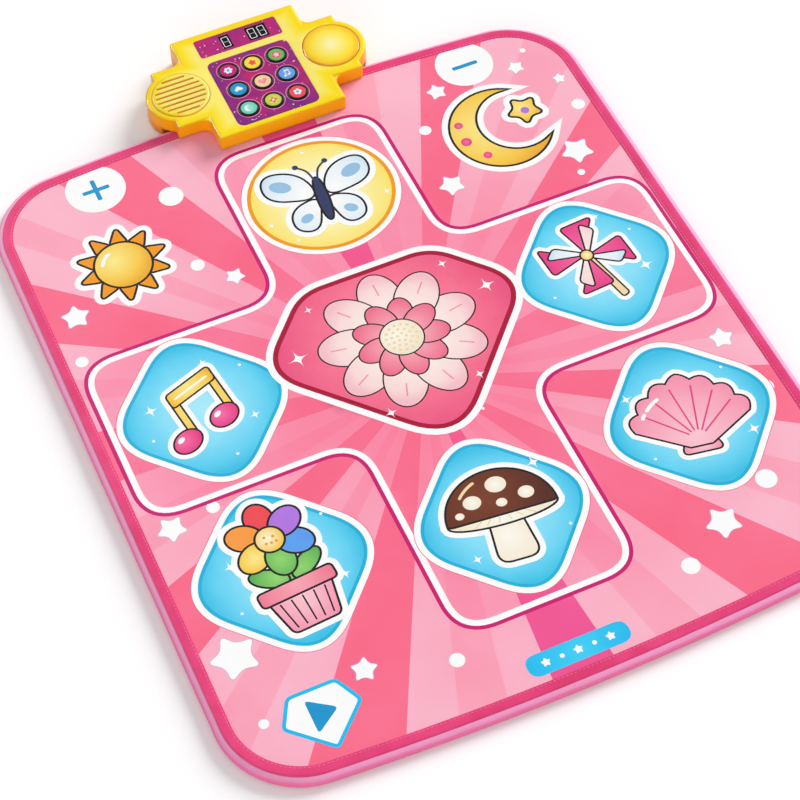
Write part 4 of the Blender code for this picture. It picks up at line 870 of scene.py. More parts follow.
def daisy():
    """Two rows of petals round a seed head."""
    parts = []
    for count, reach, wide, long, ink, start in (
        (9, 66, 27, 40, "blush", 90), (9, 36, 16, 25, "rose", 70),
    ):
        for i in range(count):
            angle = start + 360 * i / count
            x, y = (reach * f(math.radians(angle)) for f in (math.cos, math.sin))
            petal = ellipse(x, y, long, wide, angle, 44)
            parts.append(shape(petal, ink, (x * 0.7, y * 0.7), long * 1.3))
    parts.append(shape(ellipse(0, 0, 27, 27, steps=48), "cream", (-5, 6), 34))
    made = inked(parts, rim=0, line=1.9)
    for i in range(9):
        angle = math.radians(90 + 40 * i)
        ends = [(r * math.cos(angle), r * math.sin(angle)) for r in (72, 90)]
        made.append(shape(stroke(ends, 2.0), "petal_pink", (0, 0), 100))
    for ring, count in ((6, 5), (13, 10), (20, 15)):
        for i in range(count):
            angle = 2 * math.pi * (i + ring % 2 / 2) / count
            seed = ellipse(ring * math.cos(angle), ring * math.sin(angle), 2.1, 2.1, steps=10)
            made.append(shape(seed, "sand"))
    return made


def butterfly():
    parts = []
    for side in (-1, 1):
        lower = rounded([(2, 2), (34, -8), (36, -34), (14, -40)], 16)
        upper = rounded([(2, -2), (14, 36), (52, 44), (54, 10)], 22)
        for outline, middle in ((lower, (18, -16)), (upper, (30, 18))):
            points = [(side * x, y) for x, y in outline]
            points = points if side < 0 else points[::-1]
            parts.append(shape(points, "ice", (side * middle[0] * 0.5, middle[1] * 0.5), 52))
    parts.append(shape(ellipse(0, -2, 5, 27), "navy"))
    made = inked(parts)
    for side in (-1, 1):
        for x, y, rx, ry, turn in ((36, 24, 11, 7, 25), (22, -22, 7, 5, -30)):
            made.append(shape(ellipse(side * x, y, rx, ry, side * turn), "ice_shade"))
        feeler = curve_through([(side * 1.5, 22), (side * 6, 36), (side * 15, 44)])
        made.append(shape(stroke(feeler, 2.2), "navy"))
        made.append(shape(ellipse(side * 15, 44, 3, 3, steps=14), "navy"))
    return made


print("daisy outlines:", len(daisy()))


# %% Motifs for the open corners
def moon():
    outer = arc(0, 0, 46, 50, 310, 40)
    inner = arc(17, 0, 37, 294, 66, 34)
    crescent = shape(outer + inner, "gold", (-14, 8), 58)
    made = inked([crescent, shape(star(30, 4, 17, 10), "gold", (28, 8), 20)])
    for x, y, r in ((-36, 4, 5), (-30, -20, 4), (-30, 24, 4)):
        made.append(shape(ellipse(x, y, r, r, steps=20), "hot_pink", (x, y), r))
    made.append(shape(ellipse(30, 3, 4, 4, steps=16), "violet"))
    return made


def sun():
    parts = []
    for i in range(10):
        ray = rounded([(25, -8), (44, 0), (25, 8)], 5)
        parts.append(shape(moved(ray, turn=36 * i + 8), "amber"))
    parts.append(shape(ellipse(0, 0, 26, 26, steps=48), "gold", (-7, 8), 34))
    made = inked(parts)
    made.append(shape(stroke(arc(0, 0, 19, 115, 160, 8), 3.2), "white"))
    return made


print("moon and sun ready")

# %% [markdown]
# ## The whole print
# The drawing's origin is the middle of the near edge, in millimetres. The order is the order of
# printing: rays, loose stars and dots, the cross-shaped panel, the pads, and the motifs on them.

# %% Panel and pads
PANEL_LINE = 7.4
PANEL_SHADE = 5.0
PAD_BORDER = 7.5
PAD_RIM = 4.2
STAR_EDGE = 1.3


def panel_outline(grow=0.0):
    """A cross with round corners: a tall arm under the middle pads, a wide one for the sides."""
    low, arm_low, arm_high, top = 86 - grow, 371.5 - grow, 614 + grow, 854.5 + grow
    points = []
    for arm_x, reach in ((114.5 + grow, 379 + grow), (-112 - grow, -375 - grow)):
        side = [
            (arm_x, low), (arm_x, arm_low), (reach, arm_low),
            (reach, arm_high), (arm_x, arm_high), (arm_x, top),
        ]
        points += side if arm_x > 0 else side[::-1]
    return rounded(points, 46, 12)


def pad(x, y, size):
    """A blue touch pad: a soft diamond with a white border and a deeper rim."""
    corners = [(123.5, 0), (0, 129.5), (-123.5, 0), (0, -129.5)]
    outline = moved(rounded(corners, 62, 16), x, y, 0, size)
    return [
        shape(drawn_in(outline, -1.0), "rose", (x, y), 40),
        shape(outline, "white"),
        shape(drawn_in(outline, PAD_BORDER), "sky_rim"),
        shape(drawn_in(outline, PAD_BORDER + PAD_RIM), "sky", (x, y), 96),
    ]


def glints(*places):
    return [shape(sparkle(x, y, r, 8), "white") for x, y, r in places]


layout = [shape(mat_drawing(COVER_INSET), "rays")]
for x, y, r, turn in (
    (-350, 166, 32, 10), (-226, 92, 17, -20), (226, 96, 24, 15), (352, 330, 17, -12),
    (-354, 352, 20, 24), (158, 690, 19, 14), (-352, 690, 20, -8), (330, 676, 24, 20),
    (208, 846, 15, 0), (-150, 668, 14, 30), (356, 60, 14, 6), (322, 842, 13, 12),
    (366, 800, 10, -10),
):
    layout.append(shape(star(x, y, r + STAR_EDGE, turn), "lilac"))
    layout.append(shape(star(x, y, r, turn), "white"))
for x, y, r in (
    (-300, 360, 8), (-186, 704, 9), (-176, 824, 16), (300, 128, 13), (164, 60, 11), (-128, 60, 9),
    (366, 244, 9), (-368, 622, 8), (368, 748, 9), (166, 790, 8), (318, 640, 5), (344, 866, 4),
    (-352, 76, 6),
):
    layout.append(shape(ellipse(x, y, r, r), "white"))
panel = panel_outline()
layout += [
    shape(drawn_in(panel, -PANEL_SHADE), "magenta"),
    shape(panel, "white"),
    shape(drawn_in(panel, PANEL_LINE), "panel"),
]
for x, y, size in (
    (-260, 496, 1.04), (265, 496, 1.03), (-258, 249, 1.06), (0, 212, 1.045), (263, 245, 1.065),
):
    layout += pad(x, y, size)
layout += glints(
    (-318, 518, 9), (-206, 462, 7), (-236, 560, 6), (322, 470, 10), (214, 546, 7), (300, 566, 6),
    (-312, 276, 8), (-196, 214, 7), (64, 262, 9), (-52, 168, 7), (322, 196, 9), (204, 296, 8),
)
for x, y in (
    (-330, 476), (-196, 538), (-246, 418), (196, 470), (330, 530), (-322, 214), (-190, 300),
    (66, 168), (-60, 250), (196, 206), (330, 292), (-122, 470), (126, 478), (-104, 556),
    (44, 356), (-36, 582),
):
    layout.append(shape(ellipse(x, y, 1.9, 1.9, steps=12), "white"))
layout += placed(note(), -260, 498, 8, 1.08)
layout += placed(windmill(), 262, 514, 6, 1.04)
layout += placed(potted_flower(), -254, 250, 4, 1.24)
layout += placed(mushroom(), 2, 220, -6, 1.22)
layout += placed(seashell(), 264, 250, -10, 1.12)

# %% Middle gem, round badge and small signs
gem_corners = [(0, 324), (175, 513), (88.5, 608), (-88.5, 608), (-175, 513)]
gem = rounded(gem_corners, (69, 50, 30, 30, 50), 10)
layout += [
    shape(drawn_in(gem, -9.5), "white"),
    shape(drawn_in(gem, -1.0), "crimson"),
    shape(drawn_in(gem, 5.5), "gem", (0, 500), 150),
]
layout += glints(
    (-128, 516, 12), (128, 524, 11), (-88, 580, 6), (92, 578, 7), (-58, 396, 8), (62, 404, 7),
)
layout += placed(daisy(), 0, 494, 0, 0.98)
badge = (0, 746)
layout += [
    shape(ellipse(*badge, 104, 99, steps=72), "rose", badge, 60),
    shape(ellipse(*badge, 103, 98, steps=72), "white"),
    shape(ellipse(*badge, 96, 91, steps=72), "amber"),
    shape(ellipse(*badge, 91, 86, steps=72), "badge", badge, 92),
]
layout += placed(butterfly(), 0, 742, -6, 1.32)
layout += glints((-78, 724, 5), (78, 716, 6), (-56, 688, 4), (5, 822, 4))
layout += placed(moon(), 258, 754, 12, 1.44)
layout += placed(sun(), -270, 744, 0, 1.36)

for x, sign in ((-260, "more"), (262, "less")):
    middle = (x, 876)
    layout.append(shape(ellipse(*middle, 39, 39, steps=48), "white"))
    bars = [box_outline(x - 18, 871, x + 18, 877, 2)]
    if sign == "more":
        bars.append(box_outline(x - 3, 856, x + 3, 892, 2))
    layout += [shape(b, "glyph_blue") for b in bars]

start = rounded([(-289, 14), (-241, 60), (-259, 96), (-319, 96), (-338, 60)], 7, 5)
layout += [shape(start, "cyan"), shape(drawn_in(start, 4.5), "white")]
layout.append(shape(rounded([(-302, 40), (-270, 62), (-302, 84)], 6), "glyph_blue"))
pill = box_outline(-63, 3, 63, 31, 13.9)
layout.append(shape(pill, "banner", (0, 17), 66))
for i in range(5):
    x = (i - 2) * 20
    outline = star(x, 17, 6.5, 0) if i % 2 == 0 else ellipse(x, 17, 2.8, 2.8, steps=16)
    layout.append(shape(outline, "white"))
print("print:", len(layout), "outlines")

# %% [markdown]
# ## The cover as a soft sheet
# The foam pushes the cover up, and the seam pulls it down. So the sheet is low at the seam, rises
# over the first few centimetres, and has slow, slight waves further in. A grid of extra points
# lets the flat triangulation follow that form.

# %% Cover relief
SEAM_DIP = 0.0007
SWELL_REACH = 0.030
COVER_TOP_Z = 0.01496
WAVE_HEIGHT = 0.00022
GRID_PITCH_MM = 13.0
GRID_MARGIN = 0.006
GRID_RINGS = (0.0065, 0.0115, 0.018)  # insets where the sheet bends most


def smooth_share(t):
    t = min(max(t, 0.0), 1.0)
    return t * t * (3 - 2 * t)


def inset_of(x, y):
    """How far a point lies inside the seam, from the outline's straight and round parts."""
    half_width, half_length = MAT_WIDTH / 2, MAT_LENGTH / 2
    y = y - MAT_NEAR_Y - half_length
    y -= MAT_BOW * (1 - (x / half_width) ** 2) * y / half_length
    past_x = abs(x) - (half_width - MAT_CORNER_RADIUS)
    past_y = abs(y) - (half_length - MAT_CORNER_RADIUS)
    if past_x > 0 and past_y > 0:
        return MAT_CORNER_RADIUS - math.hypot(past_x, past_y)
    return MAT_CORNER_RADIUS - max(past_x, past_y)


def cover_z(x, y):
    wave = math.sin(x * 31 + 1.1 * math.sin(y * 17)) * math.cos(y * 26 + 0.8 * math.sin(x * 21))
    inset = inset_of(x, y)
    lift = smooth_share(inset / SWELL_REACH)
    return COVER_TOP_Z - SEAM_DIP * (1 - lift) + WAVE_HEIGHT * wave * lift


def cover_point(x_mm, y_mm):
    x, y = x_mm / 1000, MAT_NEAR_Y + y_mm / 1000
    return (x, y, cover_z(x, y))


grid = []
for i in range(-31, 32):
    for j in range(-2, 73):
        x, y = (i + 0.5 * (j % 2)) * GRID_PITCH_MM, j * GRID_PITCH_MM
        if inset_of(x / 1000, MAT_NEAR_Y + y / 1000) > GRID_MARGIN:
            grid.append((x, y))
for inset in GRID_RINGS:
    grid += mat_drawing(inset, 10, 30)

cover_mesh = printed("top_sheet", layout, cover_point, grid)
cover_mesh.shade_smooth()
cover = add_piece(cover_mesh)
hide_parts("top_cover")
print("cover:", len(cover_mesh.polygons), "triangles,", len(cover_mesh.materials), "inks")

# %% [markdown]
# ## Geometry Nodes for what repeats
# Stitches, grip dots and the painted shades of screw recesses are one small shape set out many
# times, and a spring is a wire along a path. A builder class makes the tree with named sizes, runs
# it on a base mesh of points or a path, and keeps a plain mesh, because an exported model has no
# instances.


# %% Pattern builder
class Pattern:
    """A Geometry Nodes tree under construction, with a named input for each size."""

    def __init__(self, name, **sizes):
        self.tree = bpy.data.node_groups.new(name, "GeometryNodeTree")
        ports = self.tree.interface
        ports.new_socket("Geometry", in_out="INPUT", socket_type="NodeSocketGeometry")
        ports.new_socket("Geometry", in_out="OUTPUT", socket_type="NodeSocketGeometry")
        self.identifiers = {}
        for label in sizes:
            socket = ports.new_socket(label, in_out="INPUT", socket_type="NodeSocketFloat")
            self.identifiers[label] = socket.identifier
        self.sizes = sizes
        self.given = self.tree.nodes.new("NodeGroupInput").outputs

    def node(self, kind, inputs=(), **settings):
        return add_node(self.tree, kind, inputs, **settings)

    def grown(self, name, base, geometry, material):
        """The plain mesh that the tree makes from a base mesh."""
        real = self.node("GeometryNodeRealizeInstances", {"Geometry": geometry}).outputs[0]
        inputs = {"Geometry": real, "Material": material}
        done = self.node("GeometryNodeSetMaterial", inputs).outputs[0]
        self.tree.links.new(done, self.tree.nodes.new("NodeGroupOutput").inputs[0])
        holder = bpy.data.objects.new(name + "_base", base)
        scene.collection.objects.link(holder)
        modifier = holder.modifiers.new(name, "NODES")
        modifier.node_group = self.tree
        for label, value in self.sizes.items():
            modifier[self.identifiers[label]] = value
        ready = holder.evaluated_get(bpy.context.evaluated_depsgraph_get())
        mesh = bpy.data.meshes.new_from_object(ready)
        mesh.name = name
        bpy.data.objects.remove(holder)
        return mesh


def path_mesh(points, closed=True):
    """A line as edges."""
    edges = [(i - 1, i) for i in range(1, len(points))]
    if closed:
        edges.append((len(points) - 1, 0))
    mesh = bpy.data.meshes.new("path")
    mesh.from_pydata(points, edges, [])
    return mesh


def point_mesh(points):
    mesh = bpy.data.meshes.new("points")
    mesh.from_pydata(points, [], [])
    return mesh


print("pattern builder ready")

# %% [markdown]
# ## Border tape, piping and stitches
# A woven tape covers the raw edge of the print, and a thin piping closes the seam to the side
# wall. Both are closed bands lofted along the seam. The tape is a little pillowed, with a groove
# where the thread pulls it down, and the thread is one bead set out along the path.

# %% Woven tape
TAPE_SECTION_MM = (
    (2.7, 14.35), (2.4, 14.8), (2.7, 15.2), (3.6, 15.38), (6.5, 15.45), (10.0, 15.42), (11.5, 15.3),
    (12.4, 15.04), (13.3, 15.22), (14.0, 15.14), (14.5, 14.95), (14.8, 14.7), (13.7, 14.45),
    (8.0, 14.4),
)


def band(name, section_mm):
    """A closed band along the seam, from (inset, height) points round its section."""
    lines = [mat_outline(inset / 1000) for inset, _height in section_mm]
    heights = [height / 1000 for _inset, height in section_mm]
    rings = [[(*line[i], z) for line, z in zip(lines, heights)] for i in range(len(lines[0]))]
    return lofted(name, rings)


tape = add_piece(band("border_band", TAPE_SECTION_MM))
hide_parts("border_tape")
tape_finish = Finish("tape_weave", roughness=0.62, Specular_IOR_Level=0.18, Sheen_Weight=0.05)
tape_finish.clouded(24.0, 4.0, (224, 48, 110), (236, 66, 128))
tape_finish.weave(0.0016, 0.00006)
tape.data.materials.append(tape_finish.material)
print("tape:", len(tape.data.polygons), "faces")

# %% Piping
PIPING_RADIUS_MM = 0.65
PIPING_PLACE_MM = (2.3, 14.72)
piping_section = [
    (PIPING_PLACE_MM[0] - PIPING_RADIUS_MM * math.cos(math.radians(a)),
     PIPING_PLACE_MM[1] + PIPING_RADIUS_MM * math.sin(math.radians(a)))
    for a in range(0, 360, 36)
]
piping = add_piece(band("seam_piping", piping_section))
piping_finish = Finish("piping_cloth", roughness=0.58, Specular_IOR_Level=0.3)
piping_finish.clouded(60.0, 3.0, (206, 44, 98), (224, 64, 116))
piping_finish.weave(0.0009, 0.00005)
piping.data.materials.append(piping_finish.material)
print("piping:", len(piping.data.polygons), "faces")

# %% Stitches
STITCH_INSET = 0.0124
STITCH_Z = 0.01524
thread = Finish("stitch_thread", roughness=0.5, Sheen_Weight=0.2)
thread.clouded(900.0, 1.0, (240, 120, 160), (252, 168, 196))
row = Pattern("stitch_row", spacing=0.0052, length=0.0019, thickness=0.00024)
line = row.node("GeometryNodeMeshToCurve", {"Mesh": row.given["Geometry"]}).outputs[0]
spots = row.node(
    "GeometryNodeCurveToPoints", {"Curve": line, "Length": row.given["spacing"]}, mode="LENGTH"
)
bead = row.node("GeometryNodeMeshUVSphere", {"Segments": 7, "Rings": 5, "Radius": 1.0}).outputs[0]
size = row.node(
    "ShaderNodeCombineXYZ",
    {"X": row.given["thickness"], "Y": row.given["thickness"], "Z": row.given["length"]},
).outputs[0]
along = row.node(
    "FunctionNodeAlignRotationToVector", {"Vector": spots.outputs["Tangent"]}, axis="Z"
).outputs[0]
beads = row.node(
    "GeometryNodeInstanceOnPoints",
    {"Points": spots.outputs["Points"], "Instance": bead, "Rotation": along, "Scale": size},
).outputs[0]
stitch_path = path_mesh([(x, y, STITCH_Z) for x, y in mat_outline(STITCH_INSET)])
stitches = add_piece(row.grown("tape_stitches", stitch_path, beads, thread.material))
stitches.data.shade_smooth()
print("stitches:", len(stitches.data.polygons), "faces")

# %% [markdown]
# ## Padded side wall
# The wall is a strip of cloth round the foam, and it bulges out between its two seams. Its section
# is a half round on a flat back. Along the way it swells and puckers a little where the seam
# gathers it, which a few slow waves of different lengths give.

# %% Side wall
WALL_LOW_Z = 0.0007
WALL_HIGH_Z = 0.0146
WALL_SEAM_INSET = 0.0025
WALL_BACK = 0.0075
WALL_STEPS = 16


def wall_section(fullness, pucker):
    """(outward reach, height) points: a full lower half, and a rounder shoulder up to the seam."""
    middle, half = (WALL_LOW_Z + WALL_HIGH_Z) / 2, (WALL_HIGH_Z - WALL_LOW_Z) / 2
    section = []
    for k in range(WALL_STEPS + 1):
        angle = math.pi * (k / WALL_STEPS - 0.5)
        c, s = math.cos(angle), math.sin(angle)
        if s < 0:
            section.append(((WALL_BULGE + fullness) * c ** 0.72, middle - half * (-s) ** 0.85))
        else:
            reach = WALL_BULGE + WALL_SEAM_INSET + fullness + pucker * s * s * c
            section.append((reach * c - WALL_SEAM_INSET, middle + half * s))
    return section + [(-WALL_BACK, WALL_HIGH_Z), (-WALL_BACK, WALL_LOW_Z)]


def wall_rings():
    line = mat_outline()
    rings, along = [], 0.0
    for i, (x, y) in enumerate(line):
        before, after = line[i - 1], line[(i + 1) % len(line)]
        along += math.dist(before, (x, y))
        heading = math.atan2(after[1] - before[1], after[0] - before[0])
        out = (math.sin(heading), -math.cos(heading))
        slow = 0.5 * math.sin(along * 19) + 0.5 * math.sin(along * 47 + 0.6)
        gather = 0.55 * math.sin(along * 410) + 0.45 * math.sin(along * 233 + 1.7)
        section = wall_section(0.00014 * slow, 0.0006 * gather)
        rings.append([(x + out[0] * reach, y + out[1] * reach, z) for reach, z in section])
    return rings


wall = add_piece(lofted("side_wall", wall_rings()))
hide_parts("edge_roll")
wall_finish = Finish("side_wall_cloth", roughness=0.58, Specular_IOR_Level=0.18, Sheen_Weight=0.06)
# Painted shade and highlight: darker pink towards the bottom, paler pink just under the seam.
height = wall_finish.maths("MULTIPLY", wall_finish.split()[2], 1 / WALL_HIGH_Z)
height = wall_finish.drifting(height, 30.0, 0.08)
wall_finish.colour(wall_finish.shades(height, [
    (0.05, (212, 62, 122)), (0.4, (242, 98, 154)), (0.8, (247, 122, 172)), (0.93, (250, 160, 204)),
]))
wall_finish.weave(0.0012, 0.00004)
wall.data.materials.append(wall_finish.material)
print("side wall:", len(wall.data.polygons), "faces")

# %% [markdown]
# ## Foam and films inside
# Under the print lie two clear films with silver tracks and a thin foam between them, which is
# pierced under each touch field. Below is the thick foam that makes the mat soft, a closed slab
# with soft rims. The thin one is cut out flat, like the print, and then thickened.


# %% Foam finish
def foam_finish(name, light, dark):
    finish = Finish(name, roughness=0.85, Specular_IOR_Level=0.2)
    cells = finish.node(
        "TexVoronoi", {"Vector": finish.coordinates.outputs["Object"], "Scale": 900.0}
    ).outputs["Distance"]
    finish.colour(finish.shades(cells, [(0.1, dark), (0.7, light)]))
    finish.relief(cells, 0.0002, 0.7)
    return finish.material


FOAM_SECTION_MM = (
    (8.6, 1.3), (8.25, 2.4), (8.15, 5.7), (8.25, 9.2), (8.6, 10.2), (9.6, 10.5),
    (22.0, 10.5), (22.0, 1.0), (9.6, 1.0),
)


def slab_from(name, section_mm):
    """A closed soft-rimmed slab: the band without its back, and a flat sheet over each side."""
    top = max(height for _inset, height in section_mm) / 1000
    low = min(height for _inset, height in section_mm) / 1000
    mesh = bpy.data.meshes.new(name)
    shape_in = bmesh.new()
    rows = []
    for inset, height_mm in section_mm:
        points = mat_outline(inset / 1000, 12, 24)
        rows.append([shape_in.verts.new((x, y, height_mm / 1000)) for x, y in points])
    for one, two in zip(rows, rows[1:]):
        if one[0].co.z == top and two[0].co.z == low:
            shape_in.faces.new(one)
            shape_in.faces.new(two[::-1])
            continue
        for i in range(len(one)):
            shape_in.faces.new((one[i - 1], one[i], two[i], two[i - 1]))
    for i in range(len(rows[0])):
        shape_in.faces.new((rows[-1][i - 1], rows[-1][i], rows[0][i], rows[0][i - 1]))
    bmesh.ops.recalc_face_normals(shape_in, faces=shape_in.faces)
    shape_in.to_mesh(mesh)
    shape_in.free()
    mesh.shade_smooth()
    mesh.set_sharp_from_angle(angle=math.radians(50))
    return mesh


cushion = add_piece(slab_from("cushion_slab", FOAM_SECTION_MM))
cushion.data.materials.append(foam_finish("cushion_cells", (238, 236, 230), (206, 202, 194)))
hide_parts("cushion_foam")
print("cushion:", len(cushion.data.polygons), "faces")

# %% Spacer foam with its holes
SPACER_Z = 0.01275
SPACER_THICKNESS = 0.0015
SPACER_INSET = 0.0084
HOLE_PITCH_MM = 24.0
HOLE_RADIUS_MM = 7.5
INKS["spacer_cells"] = foam_finish("spacer_cells", (246, 246, 244), (214, 214, 210))
spacer_shapes = [shape(mat_drawing(SPACER_INSET), "spacer_cells")]
for x, y in ((-260, 496), (265, 496), (-258, 251), (0, 212), (263, 245), (0, 492), (0, 746)):
    for i in range(-2, 3):
        for j in range(-2, 3):
            if abs(i) + abs(j) < 4:
                place = (x + i * HOLE_PITCH_MM, y + j * HOLE_PITCH_MM)
                hole = ellipse(*place, HOLE_RADIUS_MM, HOLE_RADIUS_MM, steps=20)
                spacer_shapes.append(shape(hole, None))
spacer = add_piece(printed("spacer_foam_sheet", spacer_shapes, flat_at(MAT_NEAR_Y, SPACER_Z)))
thickened(spacer, SPACER_THICKNESS)
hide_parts("spacer_foam")
print("spacer:", len(spacer.data.polygons), "faces")

# %% [markdown]
# ## Underside
# The back is a dark cloth with rubber dots that keep the mat from sliding. The cloth is one flat
# sheet that stops just above the ground, and each dot reaches down from it. The dots are the same
# low cone set out on a staggered grid.

# %% Anti-slip cloth
BACKING_LOW_Z = 0.0003
BACKING_THICKNESS = 0.0005
BACKING_INSET = 0.0004
backing_finish = Finish("backing_cloth", roughness=0.8, Specular_IOR_Level=0.25)
backing_finish.clouded(160.0, 5.0, (60, 58, 64), (84, 80, 88))
backing_finish.weave(0.0013, 0.00008)
INKS["backing"] = backing_finish.material
plate_hole = box_outline(*plan_box("retainer_plate", MAT_NEAR_Y, 1), 3)
backing_shapes = [shape(mat_drawing(BACKING_INSET, 16, 30), "backing"), shape(plate_hole, None)]
to_backing = flat_at(MAT_NEAR_Y, BACKING_LOW_Z + BACKING_THICKNESS)
backing = add_piece(printed("backing_sheet", backing_shapes, to_backing))
thickened(backing, BACKING_THICKNESS)
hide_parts("bottom_cover")
print("backing:", len(backing.data.polygons), "faces")

# %% Grip dots
DOT_PITCH = 0.0150
DOT_MARGIN = 0.006  # to the seam, and to the plate's edge
plate_low, plate_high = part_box("retainer_plate")
dot_places = []
for j in range(0, 74):
    for i in range(-28, 29):
        x, y = (i + 0.5 * (j % 2)) * DOT_PITCH, MAT_NEAR_Y - 0.012 + j * DOT_PITCH * 0.866
        near_plate = (
            plate_low.x - DOT_MARGIN < x < plate_high.x + DOT_MARGIN
            and plate_low.y - DOT_MARGIN < y < plate_high.y + DOT_MARGIN
        )
        if inset_of(x, y) > DOT_MARGIN and not near_plate:
            dot_places.append((x, y, 0.0))
dots_finish = Finish("grip_rubber", roughness=0.55, Specular_IOR_Level=0.4)
dots_finish.clouded(400.0, 2.0, (120, 116, 126), (150, 146, 156))
grip = Pattern("grip_dots", foot=0.0016, crown=0.0012, height=BACKING_LOW_Z)
cone = grip.node("GeometryNodeMeshCone", {
    "Vertices": 10, "Side Segments": 1, "Fill Segments": 1, "Depth": grip.given["height"],
    "Radius Top": grip.given["foot"], "Radius Bottom": grip.given["crown"],
}).outputs["Mesh"]
inputs = {"Points": grip.given["Geometry"], "Instance": cone}
dots = grip.node("GeometryNodeInstanceOnPoints", inputs).outputs[0]
grip_dots = add_piece(grip.grown("grip_dots", point_mesh(dot_places), dots, dots_finish.material))
print("grip dots:", len(dot_places))

# %% [markdown]
# ## Console mouldings
# The console is two glossy mouldings: a yellow shell over an amber base. Their measured solids have
# the right shape, but their round rims are coarse. A copy of each is welded, its flat faces are
# joined, and the rim's edges are split finer, so that it catches the light as a moulded rim does.

# %% The console's outline as a distance
BLOCK_HALF = (0.0885, 0.0943)
WING_HALF = (0.1305, 0.0530)
END_X, END_RADIUS = 0.1070, 0.0465
SHELL_RIM_Z, BASE_RIM_Z, RIM_REACH = 0.0343, 0.0035, 0.0024
RING_RADIUS, GRILLE_REACH = 0.0382, 0.0352
SLOT_COUNT, SLOT_PITCH, SLOT_WIDTH, SLOT_REACH = 8, 0.0084, 0.0026, 0.0335
EASED_EDGE = 0.0003


def console_inset(x, y):
    """How far a point lies inside the console: the largest of its distances in the three forms."""
    x, y = abs(x), y - CONSOLE_Y
    return max(
        min(BLOCK_HALF[0] - x, BLOCK_HALF[1] - abs(y)),
        min(WING_HALF[0] - x, WING_HALF[1] - abs(y)),
        END_RADIUS - math.hypot(x - END_X, y),
    )


def rounded_copy(name, node, chosen):
    """A piece with a node's shape, whose chosen rim edges are made finer, for a smooth sheen."""
    whole = bmesh.new()
    whole.from_mesh(frame["nodes"][node].data)
    bmesh.ops.remove_doubles(whole, verts=whole.verts, dist=2e-6)
    bmesh.ops.dissolve_limit(
        whole, angle_limit=math.radians(0.6), verts=whole.verts, edges=whole.edges
    )
    edges = [
        e for e in whole.edges
        if len(e.link_faces) == 2 and 15 < math.degrees(e.calc_face_angle(0)) < 60
        and abs(e.verts[0].co.z - e.verts[1].co.z) < 1e-5 and all(chosen(v.co) for v in e.verts)
    ]
    bmesh.ops.bevel(
        whole, geom=edges, offset=EASED_EDGE, segments=2, profile=0.5, affect="EDGES",
        clamp_overlap=False,
    )
    bmesh.ops.triangulate(whole, faces=[f for f in whole.faces if len(f.verts) > 4])
    mesh = bpy.data.meshes.new(name)
    whole.to_mesh(mesh)
    whole.free()
    mesh.shade_smooth()
    mesh.set_sharp_from_angle(angle=math.radians(34))
    print(name, "rounded", len(edges), "edges,", len(mesh.polygons), "faces")
    obj = add_piece(mesh)
    obj.modifiers.new("flat_faces", "WEIGHTED_NORMAL").keep_sharp = True
    return obj


def eased(node):
    """Ease a measured solid's edges on the way to the render."""
    obj = frame["nodes"][node]
    obj.modifiers.new("weld", "WELD").merge_threshold = 1e-5
    bevel = obj.modifiers.new("ease", "BEVEL")
    bevel.width = EASED_EDGE
    bevel.segments = 2
    bevel.limit_method = "ANGLE"
    bevel.angle_limit = math.radians(32)


def finished(node, finish):
    """Put a new finish in a measured solid's material slots."""
    for slot in frame["nodes"][node].material_slots:
        slot.material = finish.material


def moulded(name, light, dark, roughness, **extra):
    """Moulded plastic: a slow drift of colour, and a faint orange-peel relief."""
    finish = Finish(name, roughness=roughness, **extra)
    finish.clouded(22.0, 3.0, dark, light)
    finish.relief(finish.noise(700.0, 2.0), 0.00002, 0.6)
    return finish


print("console half outline:", BLOCK_HALF, WING_HALF, END_X + END_RADIUS)

# %% [markdown]
# The shell's yellow is painted deep near the rims, as painted shade, and paler over the broad
# faces, as a painted glow. The same distance from the outline, worked out in the shader, drives
# that change.

# %% Shell finish
RING_GROOVE = 0.0006
yellow = Finish(
    "shell_gloss", roughness=0.32, Specular_IOR_Level=0.12, Coat_Weight=0.16, Coat_Roughness=0.05
)
x, y, _z = yellow.split(yellow.place(offset=(0, -CONSOLE_Y, 0)))
x = yellow.maths("ABSOLUTE", x)
rise = yellow.maths("ABSOLUTE", y)


def box_inset(half):
    sides = [yellow.maths("SUBTRACT", reach, along) for reach, along in zip(half, (x, rise))]
    return yellow.maths("MINIMUM", *sides)


def disc_inset(radius):
    aside = yellow.maths("SUBTRACT", x, END_X)
    squares = [yellow.maths("MULTIPLY", v, v) for v in (aside, rise)]
    away = yellow.maths("SQRT", yellow.maths("ADD", *squares))
    return yellow.maths("SUBTRACT", radius, away)


inset = yellow.maths("MAXIMUM", box_inset(BLOCK_HALF), box_inset(WING_HALF))
inset = yellow.maths("MAXIMUM", inset, disc_inset(END_RADIUS))
# Painted glow and shade: the yellow is deep at the rim and grows paler further in.
painted_glow = yellow.maths("MULTIPLY", inset, 32.0)
painted_glow = yellow.maths("MULTIPLY_ADD", yellow.noise(16.0, 2.0), 0.35, painted_glow)
face_colour = yellow.shades(painted_glow, [
    (0.14, (255, 200, 0)), (0.24, (255, 218, 2)), (0.5, (254, 227, 24)), (0.9, (253, 236, 112)),
])
off_grille = yellow.maths("LESS_THAN", disc_inset(GRILLE_REACH), 0.0)
# Painted shade: a deeper amber line in the groove round each disc.
from_ring = yellow.maths("ABSOLUTE", disc_inset(RING_RADIUS))
on_ring = yellow.maths("LESS_THAN", from_ring, RING_GROOVE)
face_colour = yellow.mix(on_ring, face_colour, paint(240, 158, 10))
